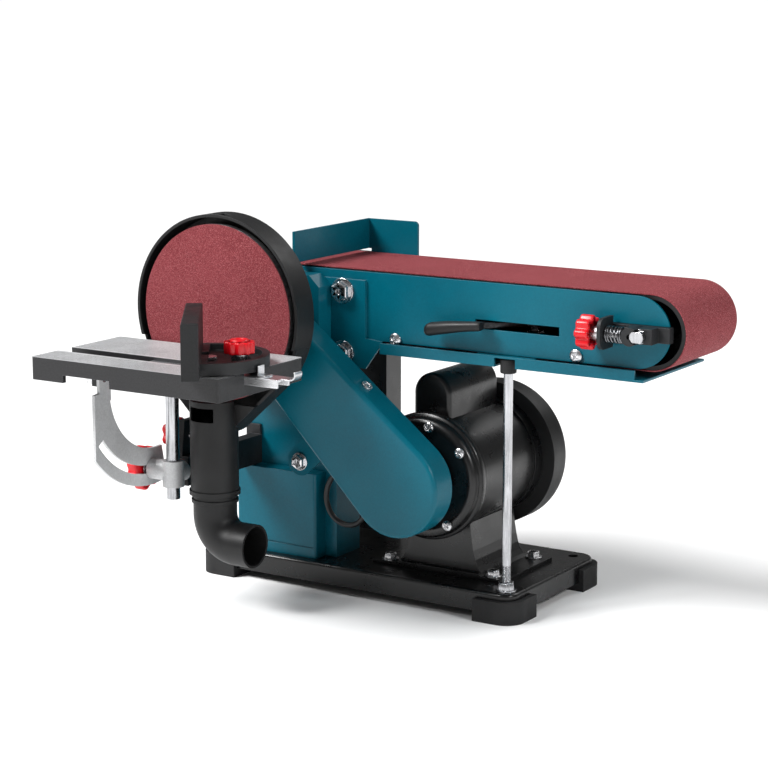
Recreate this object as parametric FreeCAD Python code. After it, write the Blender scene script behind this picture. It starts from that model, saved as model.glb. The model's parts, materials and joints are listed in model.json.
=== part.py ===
import FreeCAD, Part
import math
import os

# Bench belt and disc sander, millimetres, +Z up.
# Working datum: centre of the base plate at floor level, X along the abrasive belt, -Y the disc side.
# At the end every piece is moved so that the origin is the centre of the whole footprint, on the floor.

V = FreeCAD.Vector
X = V(1, 0, 0)
Y = V(0, 1, 0)
Z = V(0, 0, 1)

# Driving dimensions
base_length, base_width = 324.0, 160.0
base_top, skirt_bottom, pan_sheet = 26.0, 8.0, 2.0
drive_x, drive_z = -79.3, 261.5          # axis of the drum, the disc and the belt bed's tilt
motor_x, motor_z = 70.0, 117.0           # motor axis, parallel to Y
belt_width, belt_length, belt_thick = 100.0, 914.0, 1.0
belt_front, belt_back = -64.4, 35.6
drum_radius, belt_gap = 30.8, 0.1        # drums stand this far inside the belt
disc_radius, disc_face = 76.0, -169.2
shaft_radius, shaft_gap = 7.45, 0.05
bearing_outer, bearing_width = 17.5, 11.0
side_sheet = 2.0
plate_front, plate_back = -66.0, 37.2    # inner faces of the belt bed's side plates
nose_radius, nose_x = 30.0, 268.0
table_top, table_thick, skirt_depth = 232.3, 5.0, 19.3
table_left, table_right = -182.3, 12.1
table_front, table_back = -290.2, -172.2
hinge_y, hinge_z = -181.0, 205.0         # table tilt axis
post_x, post_radius = -119.2, 5.9        # round post that carries the table
slot_front, slot_back, slot_floor = -255.5, -237.5, 222.3
pivot_x, pivot_y = -30.0, -246.5         # mitre head pivot
rod_x, rod_y, rod_radius = 149.0, -66.0, 4.0
pipe_x, pipe_y, pipe_radius = -81.0, -172.0, 21.0
lever_x, lever_y, lever_z = 158.0, -35.0, 255.5
track_y, track_z = -84.0, 261.0          # tracking screw

inner_belt_radius = drum_radius + belt_gap
idler_x = drive_x + (belt_length - 2 * math.pi * (inner_belt_radius + belt_thick / 2)) / 2
belt_y = (belt_front + belt_back) / 2

nodes = {}


def block(x0, x1, y0, y1, z0, z1):
    return Part.makeBox(x1 - x0, y1 - y0, z1 - z0, V(x0, y0, z0))


def bar_x(radius, x0, x1, y, z):
    return Part.makeCylinder(radius, x1 - x0, V(x0, y, z), X)


def bar_y(radius, y0, y1, x, z):
    return Part.makeCylinder(radius, y1 - y0, V(x, y0, z), Y)


def bar_z(radius, z0, z1, x, y):
    return Part.makeCylinder(radius, z1 - z0, V(x, y, z0), Z)


def prism(points, along):
    """Straight-sided outline through the points, carried along a vector."""
    return Part.Face(Part.makePolygon(points + points[:1])).extrude(along)


def prism_y(outline, y0, y1):
    return prism([V(x, y0, z) for x, z in outline], V(0, y1 - y0, 0))


def prism_x(outline, x0, x1):
    return prism([V(x0, y, z) for y, z in outline], V(x1 - x0, 0, 0))


def joined(*shapes):
    return shapes[0].multiFuse(list(shapes[1:])).removeSplitter()


def cut(shape, *tools):
    for tool in tools:
        shape = shape.cut(tool)
    return shape


def rounded_plate(half_x, half_y, z0, z1, radius):
    """Rectangle about the datum with rounded upright corners."""
    plate = block(-half_x, half_x, -half_y, half_y, z0, z1)
    upright = [e for e in plate.Edges if abs(e.Vertexes[0].X - e.Vertexes[-1].X) < 0.01
               and abs(e.Vertexes[0].Y - e.Vertexes[-1].Y) < 0.01]
    return plate.makeFillet(radius, upright)


def egg(x0, z0, r0, x1, z1, r1, y0, y1):
    """Two circles in the XZ plane and the straight flanks that touch both, carried along Y."""
    reach = math.hypot(x1 - x0, z1 - z0)
    heading = math.atan2(z1 - z0, x1 - x0)
    lean = math.acos((r0 - r1) / reach)
    corners = []
    for turn, order in ((lean, 1), (-lean, -1)):
        a = heading + turn
        ends = [(x0 + r0 * math.cos(a), z0 + r0 * math.sin(a)), (x1 + r1 * math.cos(a), z1 + r1 * math.sin(a))]
        corners += ends[::order]
    body = prism_y(corners, y0, y1)
    return joined(body, bar_y(r0, y0, y1, x0, z0), bar_y(r1, y0, y1, x1, z1))


def hex_head(axis_point, direction, across, height):
    """Hexagonal head standing on axis_point."""
    side = direction.cross(Z if abs(direction.z) < 0.9 else X).normalize()
    up = direction.cross(side)
    radius = across / math.sqrt(3)
    ring = [axis_point + side * (radius * math.cos(math.radians(60 * k)))
            + up * (radius * math.sin(math.radians(60 * k))) for k in range(6)]
    return prism(ring, direction * height)


def bolt(seat, out, shank_radius, shank_length, across, head, washer_radius=0.0, washer=1.5):
    """Hexagon bolt: out points from its seat to its head, the shank goes the other way."""
    shape = Part.makeCylinder(shank_radius, shank_length, seat, out * -1)
    lift = washer if washer_radius else 0.0
    if washer_radius:
        shape = shape.fuse(Part.makeCylinder(washer_radius, washer, seat, out))
    return joined(shape, hex_head(seat + out * lift, out, across, head))


def pan_screw(seat, out, shank_radius, shank_length, head_radius, head):
    dome = Part.makeCylinder(head_radius, head, seat, out)
    rim = [e for e in dome.Edges if e.Closed and (e.CenterOfMass - seat).dot(out) > head / 2]
    dome = dome.makeFillet(head * 0.45, rim[:1])
    return joined(Part.makeCylinder(shank_radius, shank_length, seat, out * -1), dome)


def lobed_knob(centre, axis, radius, thick, lobes, scallop):
    """Hand knob: a disc with round scallops, its inner face at centre, thickness along axis."""
    side = axis.cross(Z if abs(axis.z) < 0.9 else X).normalize()
    up = axis.cross(side)
    knob = Part.makeCylinder(radius, thick, centre, axis)
    knob = knob.makeFillet(1.5, [e for e in knob.Edges if e.Closed])
    for k in range(lobes):
        a = 2 * math.pi * k / lobes
        where = centre + side * (math.cos(a) * radius * 1.12) + up * (math.sin(a) * radius * 1.12)
        knob = knob.cut(Part.makeCylinder(scallop, thick + 2, where - axis, axis))
    return knob


def ring_y(outer, inner, y0, y1, x, z):
    return bar_y(outer, y0, y1, x, z).cut(bar_y(inner, y0 - 1, y1 + 1, x, z))


# Base

mount_x, mount_y, mount_hole = 146.0, 64.0, 4.5
foot_bolt_x, foot_bolt_front, foot_bolt_back = 53.0, -42.0, 31.0
foot_bolts = [(motor_x + sx * foot_bolt_x, y) for sx in (-1, 1) for y in (foot_bolt_front, foot_bolt_back)]


def make_base():
    half_x, half_y = base_length / 2, base_width / 2
    pan = rounded_plate(half_x, half_y, skirt_bottom, base_top, 14)
    brim = max(pan.Faces, key=lambda f: f.CenterOfMass.z)
    pan = pan.makeFillet(3, brim.Edges)
    hollow = rounded_plate(half_x - pan_sheet, half_y - pan_sheet, skirt_bottom - 1, base_top - pan_sheet, 12)
    holes = [bar_z(mount_hole, 0, 40, x, y)
             for x, y in ((mount_x, mount_y), (-mount_x, mount_y), (-mount_x, -mount_y))]
    holes += [bar_z(3.2, 0, 40, x, y) for x, y in foot_bolts]
    holes += [bar_z(rod_radius, 0, 40, rod_x, rod_y)]
    nodes["base_pan"] = cut(pan, hollow, *holes)

    pocket = rounded_plate(half_x + 0.05, half_y + 0.05, skirt_bottom, 60, 14)
    outside = rounded_plate(half_x + 5, half_y + 5, 0, 20, 18)
    drilled = [bar_z(mount_hole + 1, -1, 30, sx * mount_x, sy * mount_y) for sx in (-1, 1) for sy in (-1, 1)]
    feet = []
    for sx in (-1, 1):
        for sy in (-1, 1):
            x0, y0 = sx * (half_x - 36), sy * (half_y - 36)
            window = block(min(x0, sx * 200), max(x0, sx * 200), min(y0, sy * 200), max(y0, sy * 200), -1, 40)
            feet.append(cut(outside.common(window), pocket, *drilled))
    nodes["corner_feet"] = Part.makeCompound(feet)


# Upright frame, shaft housing and the far column

column_left, column_right, column_face, column_top = -130.0, -33.0, -54.0, 215.0
housing_front, housing_back, housing_right = -90.0, -71.0, -27.0
boss_radius = 22.0
cover_front, cover_back = -125.0, -100.0
cover_top = (-83.5, 256.8, 29.6)         # centre x, centre z, radius of the cover's upper end
cover_low = (motor_x, motor_z, 43.2)
lug_x, lug_z = -41.0, 123.0


def make_frame():
    sheet = 3.0
    web = block(column_left, column_right, column_face, column_face + sheet, base_top, column_top)
    left = block(column_left, column_left + sheet, column_face, -16, base_top, column_top)
    right = block(column_right - sheet, column_right, column_face, -16, base_top, column_top)
    sole = block(column_left, column_right, column_face, -16, base_top, base_top + sheet)
    nodes["frame_column"] = cut(joined(web, left, right, sole), bar_y(3, -60, -50, lug_x, lug_z))

    top = drive_z + 26
    chamfer = 10.0
    outline = [(column_left - 1, 205), (housing_right, 205), (housing_right, top - chamfer),
               (housing_right - chamfer, top), (column_left + 7, top), (column_left - 1, top - 8)]
    wall = 4.0
    shell = prism_y(outline, housing_front, housing_back)
    inside = block(column_left + 3, housing_right - wall, housing_front + wall, housing_back + 1, 205 + wall, top - 12)
    fence_room = block(column_left - 2, -106, -83, housing_back + 1, top - 7.2, top + 1)
    boss = bar_y(boss_radius, housing_front, -62.8, drive_x, drive_z)
    skirt = block(column_left, column_right - 12, housing_front, column_face, 185, 214)
    seat = bar_y(bearing_outer, -84, -60, drive_x, drive_z)
    nodes["bearing_housing"] = cut(joined(cut(shell, inside, fence_room), boss, skirt), seat,
                                   bar_y(9, -95, -80, drive_x, drive_z))

    web = block(-112, -43, 46, 49, base_top, 292)
    sides = [block(x, x + 3, 46, 72, base_top, 292) for x in (-112, -46)]
    sole = block(-112, -43, 46, 72, base_top, base_top + 3)
    boss = bar_y(boss_radius, 36.4, 62, drive_x, drive_z)
    nodes["rear_column"] = cut(joined(web, *sides, sole, boss), bar_y(bearing_outer, 36, 58, drive_x, drive_z),
                               bar_y(9, 57, 63, drive_x, drive_z))


def bearing(x, z, y0):
    inner = ring_y(10.2, 7.5, y0, y0 + bearing_width, x, z)
    outer = ring_y(bearing_outer, 14.4, y0, y0 + bearing_width, x, z)
    shields = ring_y(14.4, 10.2, y0 + 1, y0 + bearing_width - 1, x, z)
    return joined(inner, outer, shields)


# Drive train: shaft, drum, disc, pulleys and belt

pulley_front, pulley_back = -119.0, -103.0
small_pulley, large_pulley, v_belt = 16.0, 32.0, 4.0


def pulley(radius, x, z, bore):
    rims = [bar_y(radius + 4.5, pulley_front, pulley_front + 2.8, x, z),
            bar_y(radius + 4.5, pulley_back - 2.8, pulley_back, x, z)]
    hub = bar_y(radius - 0.1, pulley_front, pulley_back, x, z)
    return cut(joined(hub, *rims), bar_y(bore, -130, -90, x, z))


def make_drive():
    bearings = [bearing(drive_x, drive_z, y) for y in (-79, 44)]
    bearings += [bearing(motor_x, motor_z, y) for y in (-74, 33)]
    nodes["shaft_bearings"] = Part.makeCompound(bearings)
    nodes["drive_shaft"] = bar_y(shaft_radius, -161, 56, drive_x, drive_z)
    drum = bar_y(drum_radius, -61.5, 34, drive_x, drive_z)
    hollows = [ring_y(26, 13, y, y + 24, drive_x, drive_z) for y in (-62, 11)]
    nodes["drive_drum"] = cut(drum, bar_y(shaft_radius, -63, 36, drive_x, drive_z), *hollows)
    plate = joined(bar_y(disc_radius, disc_face + 1.2, disc_face + 7.2, drive_x, drive_z),
                   bar_y(16, disc_face + 7.2, -150, drive_x, drive_z))
    nodes["disc_plate"] = plate.cut(bar_y(shaft_radius, -161, -140, drive_x, drive_z))
    nodes["disc_abrasive"] = bar_y(disc_radius, disc_face, disc_face + 1.2, drive_x, drive_z)
    nodes["drive_pulley"] = pulley(small_pulley, drive_x, drive_z, shaft_radius)
    nodes["motor_pulley"] = pulley(large_pulley, motor_x, motor_z, shaft_radius)
    ends = (drive_x, drive_z, small_pulley, motor_x, motor_z, large_pulley)
    outer = egg(drive_x, drive_z, small_pulley + v_belt, motor_x, motor_z, large_pulley + v_belt, -115.6, -106.4)
    nodes["drive_belt"] = outer.cut(egg(*ends, -117, -105))


def make_cover():
    sheet, inset = 2.5, 2.5
    shell = egg(*cover_top, *cover_low, cover_front, cover_back)
    rim = [e for e in shell.Edges if all(abs(v.Y - cover_front) < 0.01 for v in e.Vertexes)]
    shell = shell.makeFillet(4, rim)
    low = (cover_low[0], cover_low[1], cover_low[2] - inset)
    top = (cover_top[0], cover_top[1], cover_top[2] - inset)
    inside = egg(*top, *low, cover_front + sheet, cover_back + 1)
    seat, normal = cover_flank(0.62)
    hole = Part.makeCylinder(2.5, 20, seat - normal * 12, normal)
    nodes["belt_cover"] = cut(shell, inside, bar_y(17, -130, -110, drive_x, drive_z), hole)

    back = egg(*cover_top, *cover_low, cover_back, cover_back + sheet)
    lug = egg(lug_x, lug_z, 13, lug_x + 30, lug_z + 28, 12.99, cover_back, cover_back + sheet)
    post = bar_y(7, cover_back + sheet, column_face, lug_x, lug_z)
    motor_boss = ring_y(30, 19, cover_back + sheet, -77, motor_x, motor_z)
    drive_boss = ring_y(22, 12, cover_back + sheet, housing_front, drive_x, drive_z)
    nodes["belt_cover_back"] = cut(joined(back, lug, post, motor_boss, drive_boss),
                                   bar_y(12, -101, -90, drive_x, drive_z),
                                   bar_y(19, -101, -76, motor_x, motor_z),
                                   bar_y(3, -101, -50, lug_x, lug_z))
    lug_screw = bolt(V(lug_x, cover_back, lug_z), Y * -1, 3, 48, 11, 4.5, 8)
    side_screw = pan_screw(seat, normal, 2.5, 3, 5, 3)
    nodes["housing_screws"] = Part.makeCompound([lug_screw, side_screw] + bell_screw_set())


def cover_flank(share):
    """Point and outward direction on the middle of the cover's upper flank, share of the way down."""
    x0, z0, r0 = cover_top
    x1, z1, r1 = cover_low
    a = math.atan2(z1 - z0, x1 - x0) + math.acos((r0 - r1) / math.hypot(x1 - x0, z1 - z0))
    normal = V(math.cos(a), 0, math.sin(a))
    start = V(x0, 0, z0) + normal * r0
    end = V(x1, 0, z1) + normal * r1
    return start + (end - start) * share + V(0, (cover_front + cover_back) / 2 + 2, 0), normal


# Disc guard, dust hopper and outlet elbow

guard_radius, guard_front, guard_back, guard_wall = 84.5, -170.0, -145.0, 2.5
pipe_top, socket_z, mouth_x, elbow_radius, tube_radius = 187.0, 104.0, -39.0, 24.0, 19.0
elbow_z = 62.0


def make_guard():
    drum = bar_y(guard_radius, guard_front, guard_back, drive_x, drive_z)
    inside = bar_y(guard_radius - guard_wall, guard_front - 1, guard_back - guard_wall, drive_x, drive_z)
    below = block(-200, 60, -200, -100, 100, 236)
    shell = cut(drum, inside, below)
    window = block(drive_x + 3, drive_x + 10, -168, -160, 330, 352)
    hub = ring_y(23, 17, guard_back, cover_front, drive_x, drive_z)
    posts = [bar_y(6, guard_back, housing_front, -122, z) for z in (278, 240)]
    nodes["disc_guard"] = cut(joined(shell, *posts, hub), window,
                              bar_y(18, -150, -144, drive_x, drive_z),
                              bar_y(12, -150, -124, drive_x, drive_z))

    outer = egg(drive_x, drive_z, guard_radius, pipe_x, 178, 24, guard_front, guard_back)
    inner = egg(drive_x, drive_z, guard_radius - guard_wall, pipe_x, 178, 21.5,
                guard_front + guard_wall, guard_back - guard_wall)
    above = block(-200, 60, -200, -100, 235.8, 400)
    mouth = block(-200, 60, guard_front - 1, guard_front + 4, 184, 400)
    pipe = bar_z(pipe_radius, socket_z, pipe_top, pipe_x, pipe_y)
    bead = bar_z(pipe_radius + 1.2, socket_z, socket_z + 4, pipe_x, pipe_y)
    bore = bar_z(pipe_radius - 2, socket_z - 1, pipe_top - 6, pipe_x, pipe_y)
    scoop = block(pipe_x - 14, pipe_x + 14, pipe_y - 30, pipe_y - 8, pipe_top - 16, pipe_top + 1)
    slope = prism_x([(-215, pipe_top), (-195, pipe_top + 9), (-160, pipe_top + 9), (-160, pipe_top)], -120, -40)
    body = cut(joined(outer, pipe, bead), above, inner, mouth, bore, scoop.common(slope))
    nodes["dust_hopper"] = cut(body, bar_y(18, -150, -144, drive_x, drive_z),
                               bar_z(pipe_radius - 2, 150, pipe_top - 6, pipe_x, pipe_y),
                               block(pipe_x - 12, pipe_x + 12, pipe_y - 30, pipe_y - 14, 170, 182))

    bend_z = elbow_z + elbow_radius
    parts = []
    for radius in (tube_radius, tube_radius - 2):
        upright = bar_z(radius, bend_z, socket_z + 12, pipe_x, pipe_y)
        level = bar_x(radius, pipe_x + elbow_radius, mouth_x, pipe_y, elbow_z)
        circle = Part.Wire(Part.makeCircle(radius, V(pipe_x, pipe_y, bend_z), Z))
        quarter = Part.Face(circle).revolve(V(pipe_x + elbow_radius, pipe_y, bend_z), Y, -90)
        parts.append(joined(upright, quarter, level))
    collar = bar_z(tube_radius + 1.4, socket_z - 7, socket_z - 4, pipe_x, pipe_y)
    stretch = bar_z(tube_radius - 2, bend_z - 1, socket_z + 13, pipe_x, pipe_y)
    reach = bar_x(tube_radius - 2, mouth_x - 10, mouth_x + 1, pipe_y, elbow_z)
    nodes["dust_elbow"] = cut(joined(parts[0], collar), parts[1], stretch, reach)


# Switch

rocker_x, rocker_z = -136.2, 123.0


def make_switch():
    box = block(-132, -45, -70, column_face, base_top, 104)
    edges = [e for e in box.Edges if abs(e.Length - 78) < 0.01 and e.CenterOfMass.y < -69]
    box = box.makeFillet(3, edges)
    groove = block(-126, -48, -70.1, -69, 35.5, 37)
    shell = cut(box, block(-129.5, -47.5, -67.5, -53, base_top + 2.5, 101.5), groove)
    nodes["switch_box"] = shell
    case = block(column_left - 8, column_left, -46, -26, 106, 138)
    well = block(column_left - 9, column_left - 2, -43.5, -28.5, 108.5, 135.5)
    nodes["switch_case"] = cut(case, well, bar_y(1.55, -45, -27, rocker_x, rocker_z))
    cap = prism_y([(-142, 112), (-138.5, 123), (-136.5, 134), (-134.5, 134), (-134, 123), (-137.5, 112)], -43, -29)
    nodes["switch_rocker"] = joined(cap, bar_y(1.5, -44.9, -27.1, rocker_x, rocker_z))


# Motor

motor_front, motor_back = -77.0, 44.0
shell_radius, bell_radius, fan_radius = 52.0, 56.3, 66.0


def make_motor():
    shell = ring_y(shell_radius, 31, -60, 36, motor_x, motor_z)
    lips = [ring_y(shell_radius + 2, 40, y, y + 5, motor_x, motor_z) for y in (-60, 31)]
    nodes["motor_shell"] = cut(joined(shell, *lips), bar_y(48, -61, -45, motor_x, motor_z),
                               bar_y(48, 22, 37, motor_x, motor_z))
    front = bar_y(bell_radius, motor_front, -60, motor_x, motor_z)
    front = front.makeFillet(5, [e for e in front.Edges if e.Closed and e.CenterOfMass.y < -70])
    nodes["front_end_bell"] = cut(front, bar_y(44, -73, -59, motor_x, motor_z).cut(
        bar_y(21, -73, -59, motor_x, motor_z)), bar_y(bearing_outer, -74, -59, motor_x, motor_z),
        bar_y(9, -78, -70, motor_x, motor_z), *[bar_y(2.5, -80, -50, x, z) for x, z in bell_screws()])
    glands = [bar_x(4.5, x, motor_x - 30, lead_plane, z) for x, z in (lead_top, lead_low)]
    core = bar_y(bell_radius - 2, motor_front + 1, -59, motor_x, motor_z)
    nodes["front_end_bell"] = joined(nodes["front_end_bell"], *[gland.cut(core) for gland in glands])
    rear = bar_y(54, 36, motor_back, motor_x, motor_z)
    hub = bar_y(23, 31, motor_back, motor_x, motor_z)
    nodes["rear_end_bell"] = cut(joined(rear, hub), bar_y(bearing_outer, 33, 45, motor_x, motor_z),
                                 bar_y(18, 30, 34, motor_x, motor_z))
    cover = bar_y(fan_radius, motor_back, 72, motor_x, motor_z)
    cover = cover.makeFillet(8, [e for e in cover.Edges if e.Closed and e.CenterOfMass.y > 70])
    inside = bar_y(fan_radius - 2, motor_back - 1, 70, motor_x, motor_z)
    inside = inside.makeFillet(6, [e for e in inside.Edges if e.Closed and e.CenterOfMass.y > 69])
    flange = ring_y(fan_radius - 1, 46, motor_back, motor_back + 2, motor_x, motor_z)
    slots = []
    for k in range(12):
        slot = block(motor_x - 2.5, motor_x + 2.5, 60, 75, motor_z + 20, motor_z + 52)
        slot.rotate(V(motor_x, 0, motor_z), Y, 30 * k)
        slots.append(slot)
    nodes["fan_cover"] = joined(cut(cover, inside, *slots), flange)
    blades = [block(motor_x - 1, motor_x + 1, 50, 64, motor_z + 12, motor_z + 52) for _ in range(8)]
    for k, blade in enumerate(blades):
        blade.rotate(V(motor_x, 0, motor_z), Y, 45 * k)
    wheel = joined(bar_y(14, 50, 66, motor_x, motor_z), bar_y(50, 50, 52, motor_x, motor_z), *blades)
    nodes["cooling_fan"] = wheel.cut(bar_y(shaft_radius, 49, 68, motor_x, motor_z))
    nodes["rotor"] = joined(bar_y(shaft_radius, -120, 66, motor_x, motor_z),
                            bar_y(30, -42, 20, motor_x, motor_z))

    flare = [(67, base_top), (67, base_top + 3), (45, base_top + 3), (41.5, 31), (38, 35), (35.5, 41),
             (33.5, 49), (31.5, 61), (30, 74)]
    outline = [(motor_x + x, z) for x, z in flare] + [(motor_x - x, z) for x, z in reversed(flare)]
    foot = prism_y(outline, -50, 40)
    waist = [block(motor_x - 80, motor_x + 80, y0, y1, base_top + 5, 100) for y0, y1 in ((-51, -44), (34, 41))]
    hollow = prism_y([(motor_x - 34, base_top - 1), (motor_x + 34, base_top - 1), (motor_x + 27, 56),
                      (motor_x - 27, 56)], -40, 30)
    saddle = bar_y(shell_radius, -60, 50, motor_x, motor_z)
    lips = [bar_y(shell_radius + 2, y, y + 5, motor_x, motor_z) for y in (-60, 31)]
    nodes["motor_foot"] = cut(foot, *waist, hollow, saddle, *lips,
                              *[bar_z(3.2, 20, 40, x, y) for x, y in foot_bolts])
    nodes["foot_bolts"] = Part.makeCompound(
        [bolt(V(x, y, base_top + 3), Z, 3, 10, 10, 4, 7.5) for x, y in foot_bolts])


def bell_screw_set():
    return [pan_screw(V(x, motor_front, z), Y * -1, 2.5, 16, 4.5, 3) for x, z in bell_screws()]


def bell_screws():
    return [(motor_x + 47 * math.cos(math.radians(a)), motor_z + 47 * math.sin(math.radians(a)))
            for a in (35, 80, 170, 215, 305)]


def make_capacitor():
    x0, x1, y0, y1 = 48.0, 85.0, -54.0, 31.0
    middle, radius = (x0 + x1) / 2, (x1 - x0) / 2
    top = 187.0
    housing = joined(block(x0, x1, y0, y1, 150, top), bar_y(radius, y0, y1, middle, top))
    inside = joined(block(x0 + 2, x1 - 2, y0 + 2, y1 - 2, 140, top),
                    bar_y(radius - 2, y0 + 2, y1 - 2, middle, top))
    motor = bar_y(shell_radius, -70, 50, motor_x, motor_z)
    lips = [bar_y(shell_radius + 2, y, y + 5, motor_x, motor_z) for y in (-60, 31)]
    nodes["capacitor_box"] = cut(housing, inside, motor, *lips)


# Motor lead: leaves the motor's flank, hangs in an open loop and comes back lower down

lead_radius, lead_plane = 2.5, -64.0
lead_top, lead_low = (8.0, 118.0), (21.0, 81.0)
lead_points = [lead_top, (-5, 118), (-18, 114), (-29, 106), (-36.5, 94), (-38, 80), (-32, 67), (-19.5, 60),
               (-5, 62), (4, 72), (10.5, 81), lead_low]


def tangent_path(points):
    """Straight runs joined by arcs that touch them, and the arcs' radii."""
    edges, radii = [], []
    start = points[0]
    for before, corner, after in zip(points, points[1:], points[2:]):
        come, leave = (corner - before), (after - corner)
        turn = come.getAngle(leave)
        setback = 0.45 * min(come.Length, leave.Length)
        radii.append(setback / math.tan(turn / 2))
        come.normalize()
        leave.normalize()
        first, last = corner - come * setback, corner + leave * setback
        bisector = (leave - come).normalize()
        middle = corner + bisector * (radii[-1] / math.cos(turn / 2) - radii[-1])
        edges.append(Part.LineSegment(start, first).toShape())
        edges.append(Part.Arc(first, middle, last).toShape())
        start = last
    edges.append(Part.LineSegment(start, points[-1]).toShape())
    return Part.Wire(edges), radii


def make_lead():
    points = [V(x, lead_plane, z) for x, z in lead_points]
    path, radii = tangent_path(points)
    circle = Part.Wire(Part.makeCircle(lead_radius, points[0], points[1] - points[0]))
    tube = path.makePipeShell([circle], True, False)
    print("motor lead: length %.1f, radii %s" % (path.Length, [round(r, 1) for r in radii]))
    print("  volume over section times length: %.4f" % (tube.Volume / (math.pi * lead_radius ** 2 * path.Length)))
    nodes["motor_lead"] = tube


# Rest rod under the free end of the belt bed

rod_top, cap_radius = 226.0, 7.0


def make_rod():
    rod = bar_z(rod_radius, 12, rod_top, rod_x, rod_y)
    nuts = [hex_head(V(rod_x, rod_y, base_top), Z, 14, 7), hex_head(V(rod_x, rod_y, base_top - 8), Z, 13, 6)]
    washer = bar_z(9, base_top - pan_sheet - 2, base_top - pan_sheet, rod_x, rod_y)
    nodes["support_rod"] = joined(rod, *nuts, washer).cut(bar_z(20, base_top - pan_sheet, base_top, rod_x, rod_y).cut(
        bar_z(rod_radius, 0, 60, rod_x, rod_y)))
    nodes["rod_cap"] = bar_z(cap_radius, 216, 229, rod_x, rod_y).cut(bar_z(rod_radius, 215, rod_top, rod_x, rod_y))


# Tilting belt bed

slot_z0, slot_z1, slot_x = 255.2, 268.2, 232.0
lever_slot = (117.7, 197.6, 251.6, 259.4)
bed_bolt_places = [(-14.3, 273.5), (-14.3, 218.3)]
bracket_front = -70.5
tray_bottom, tray_left, tray_right, tray_front, tray_back = 221.6, 26.0, 278.0, -74.8, 44.5
tray_screw_places = [(38.5, 234.5), (213.9, 237.0)]


def side_plate(y0, y1, far):
    plate = egg(drive_x, drive_z, nose_radius, nose_x, drive_z, nose_radius - 0.02, y0, y1)
    slot = block(slot_x, 320, y0 - 1, y1 + 1, slot_z0, slot_z1)
    cuts = [slot, bar_y(boss_radius + shaft_gap, y0 - 1, y1 + 1, drive_x, drive_z)]
    cuts += [bar_y(2.5, y0 - 1, y1 + 1, x, z) for x, z in tray_screw_places]
    if far:
        cuts += [bar_y(3, y0 - 1, y1 + 1, x, z) for x, z in fence_bolts]
    else:
        cuts.append(block(lever_slot[0], lever_slot[1], y0 - 1, y1 + 1, lever_slot[2], lever_slot[3]))
        cuts += [bar_y(4, y0 - 1, y1 + 1, x, z) for x, z in bed_bolt_places[:1]]
    return cut(plate, *cuts)


fence_x, fence_sheet, fence_top = -60.0, 2.5, 323.5
fence_bolts = [(-45.0, 272.0), (-20.0, 272.0)]


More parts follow.
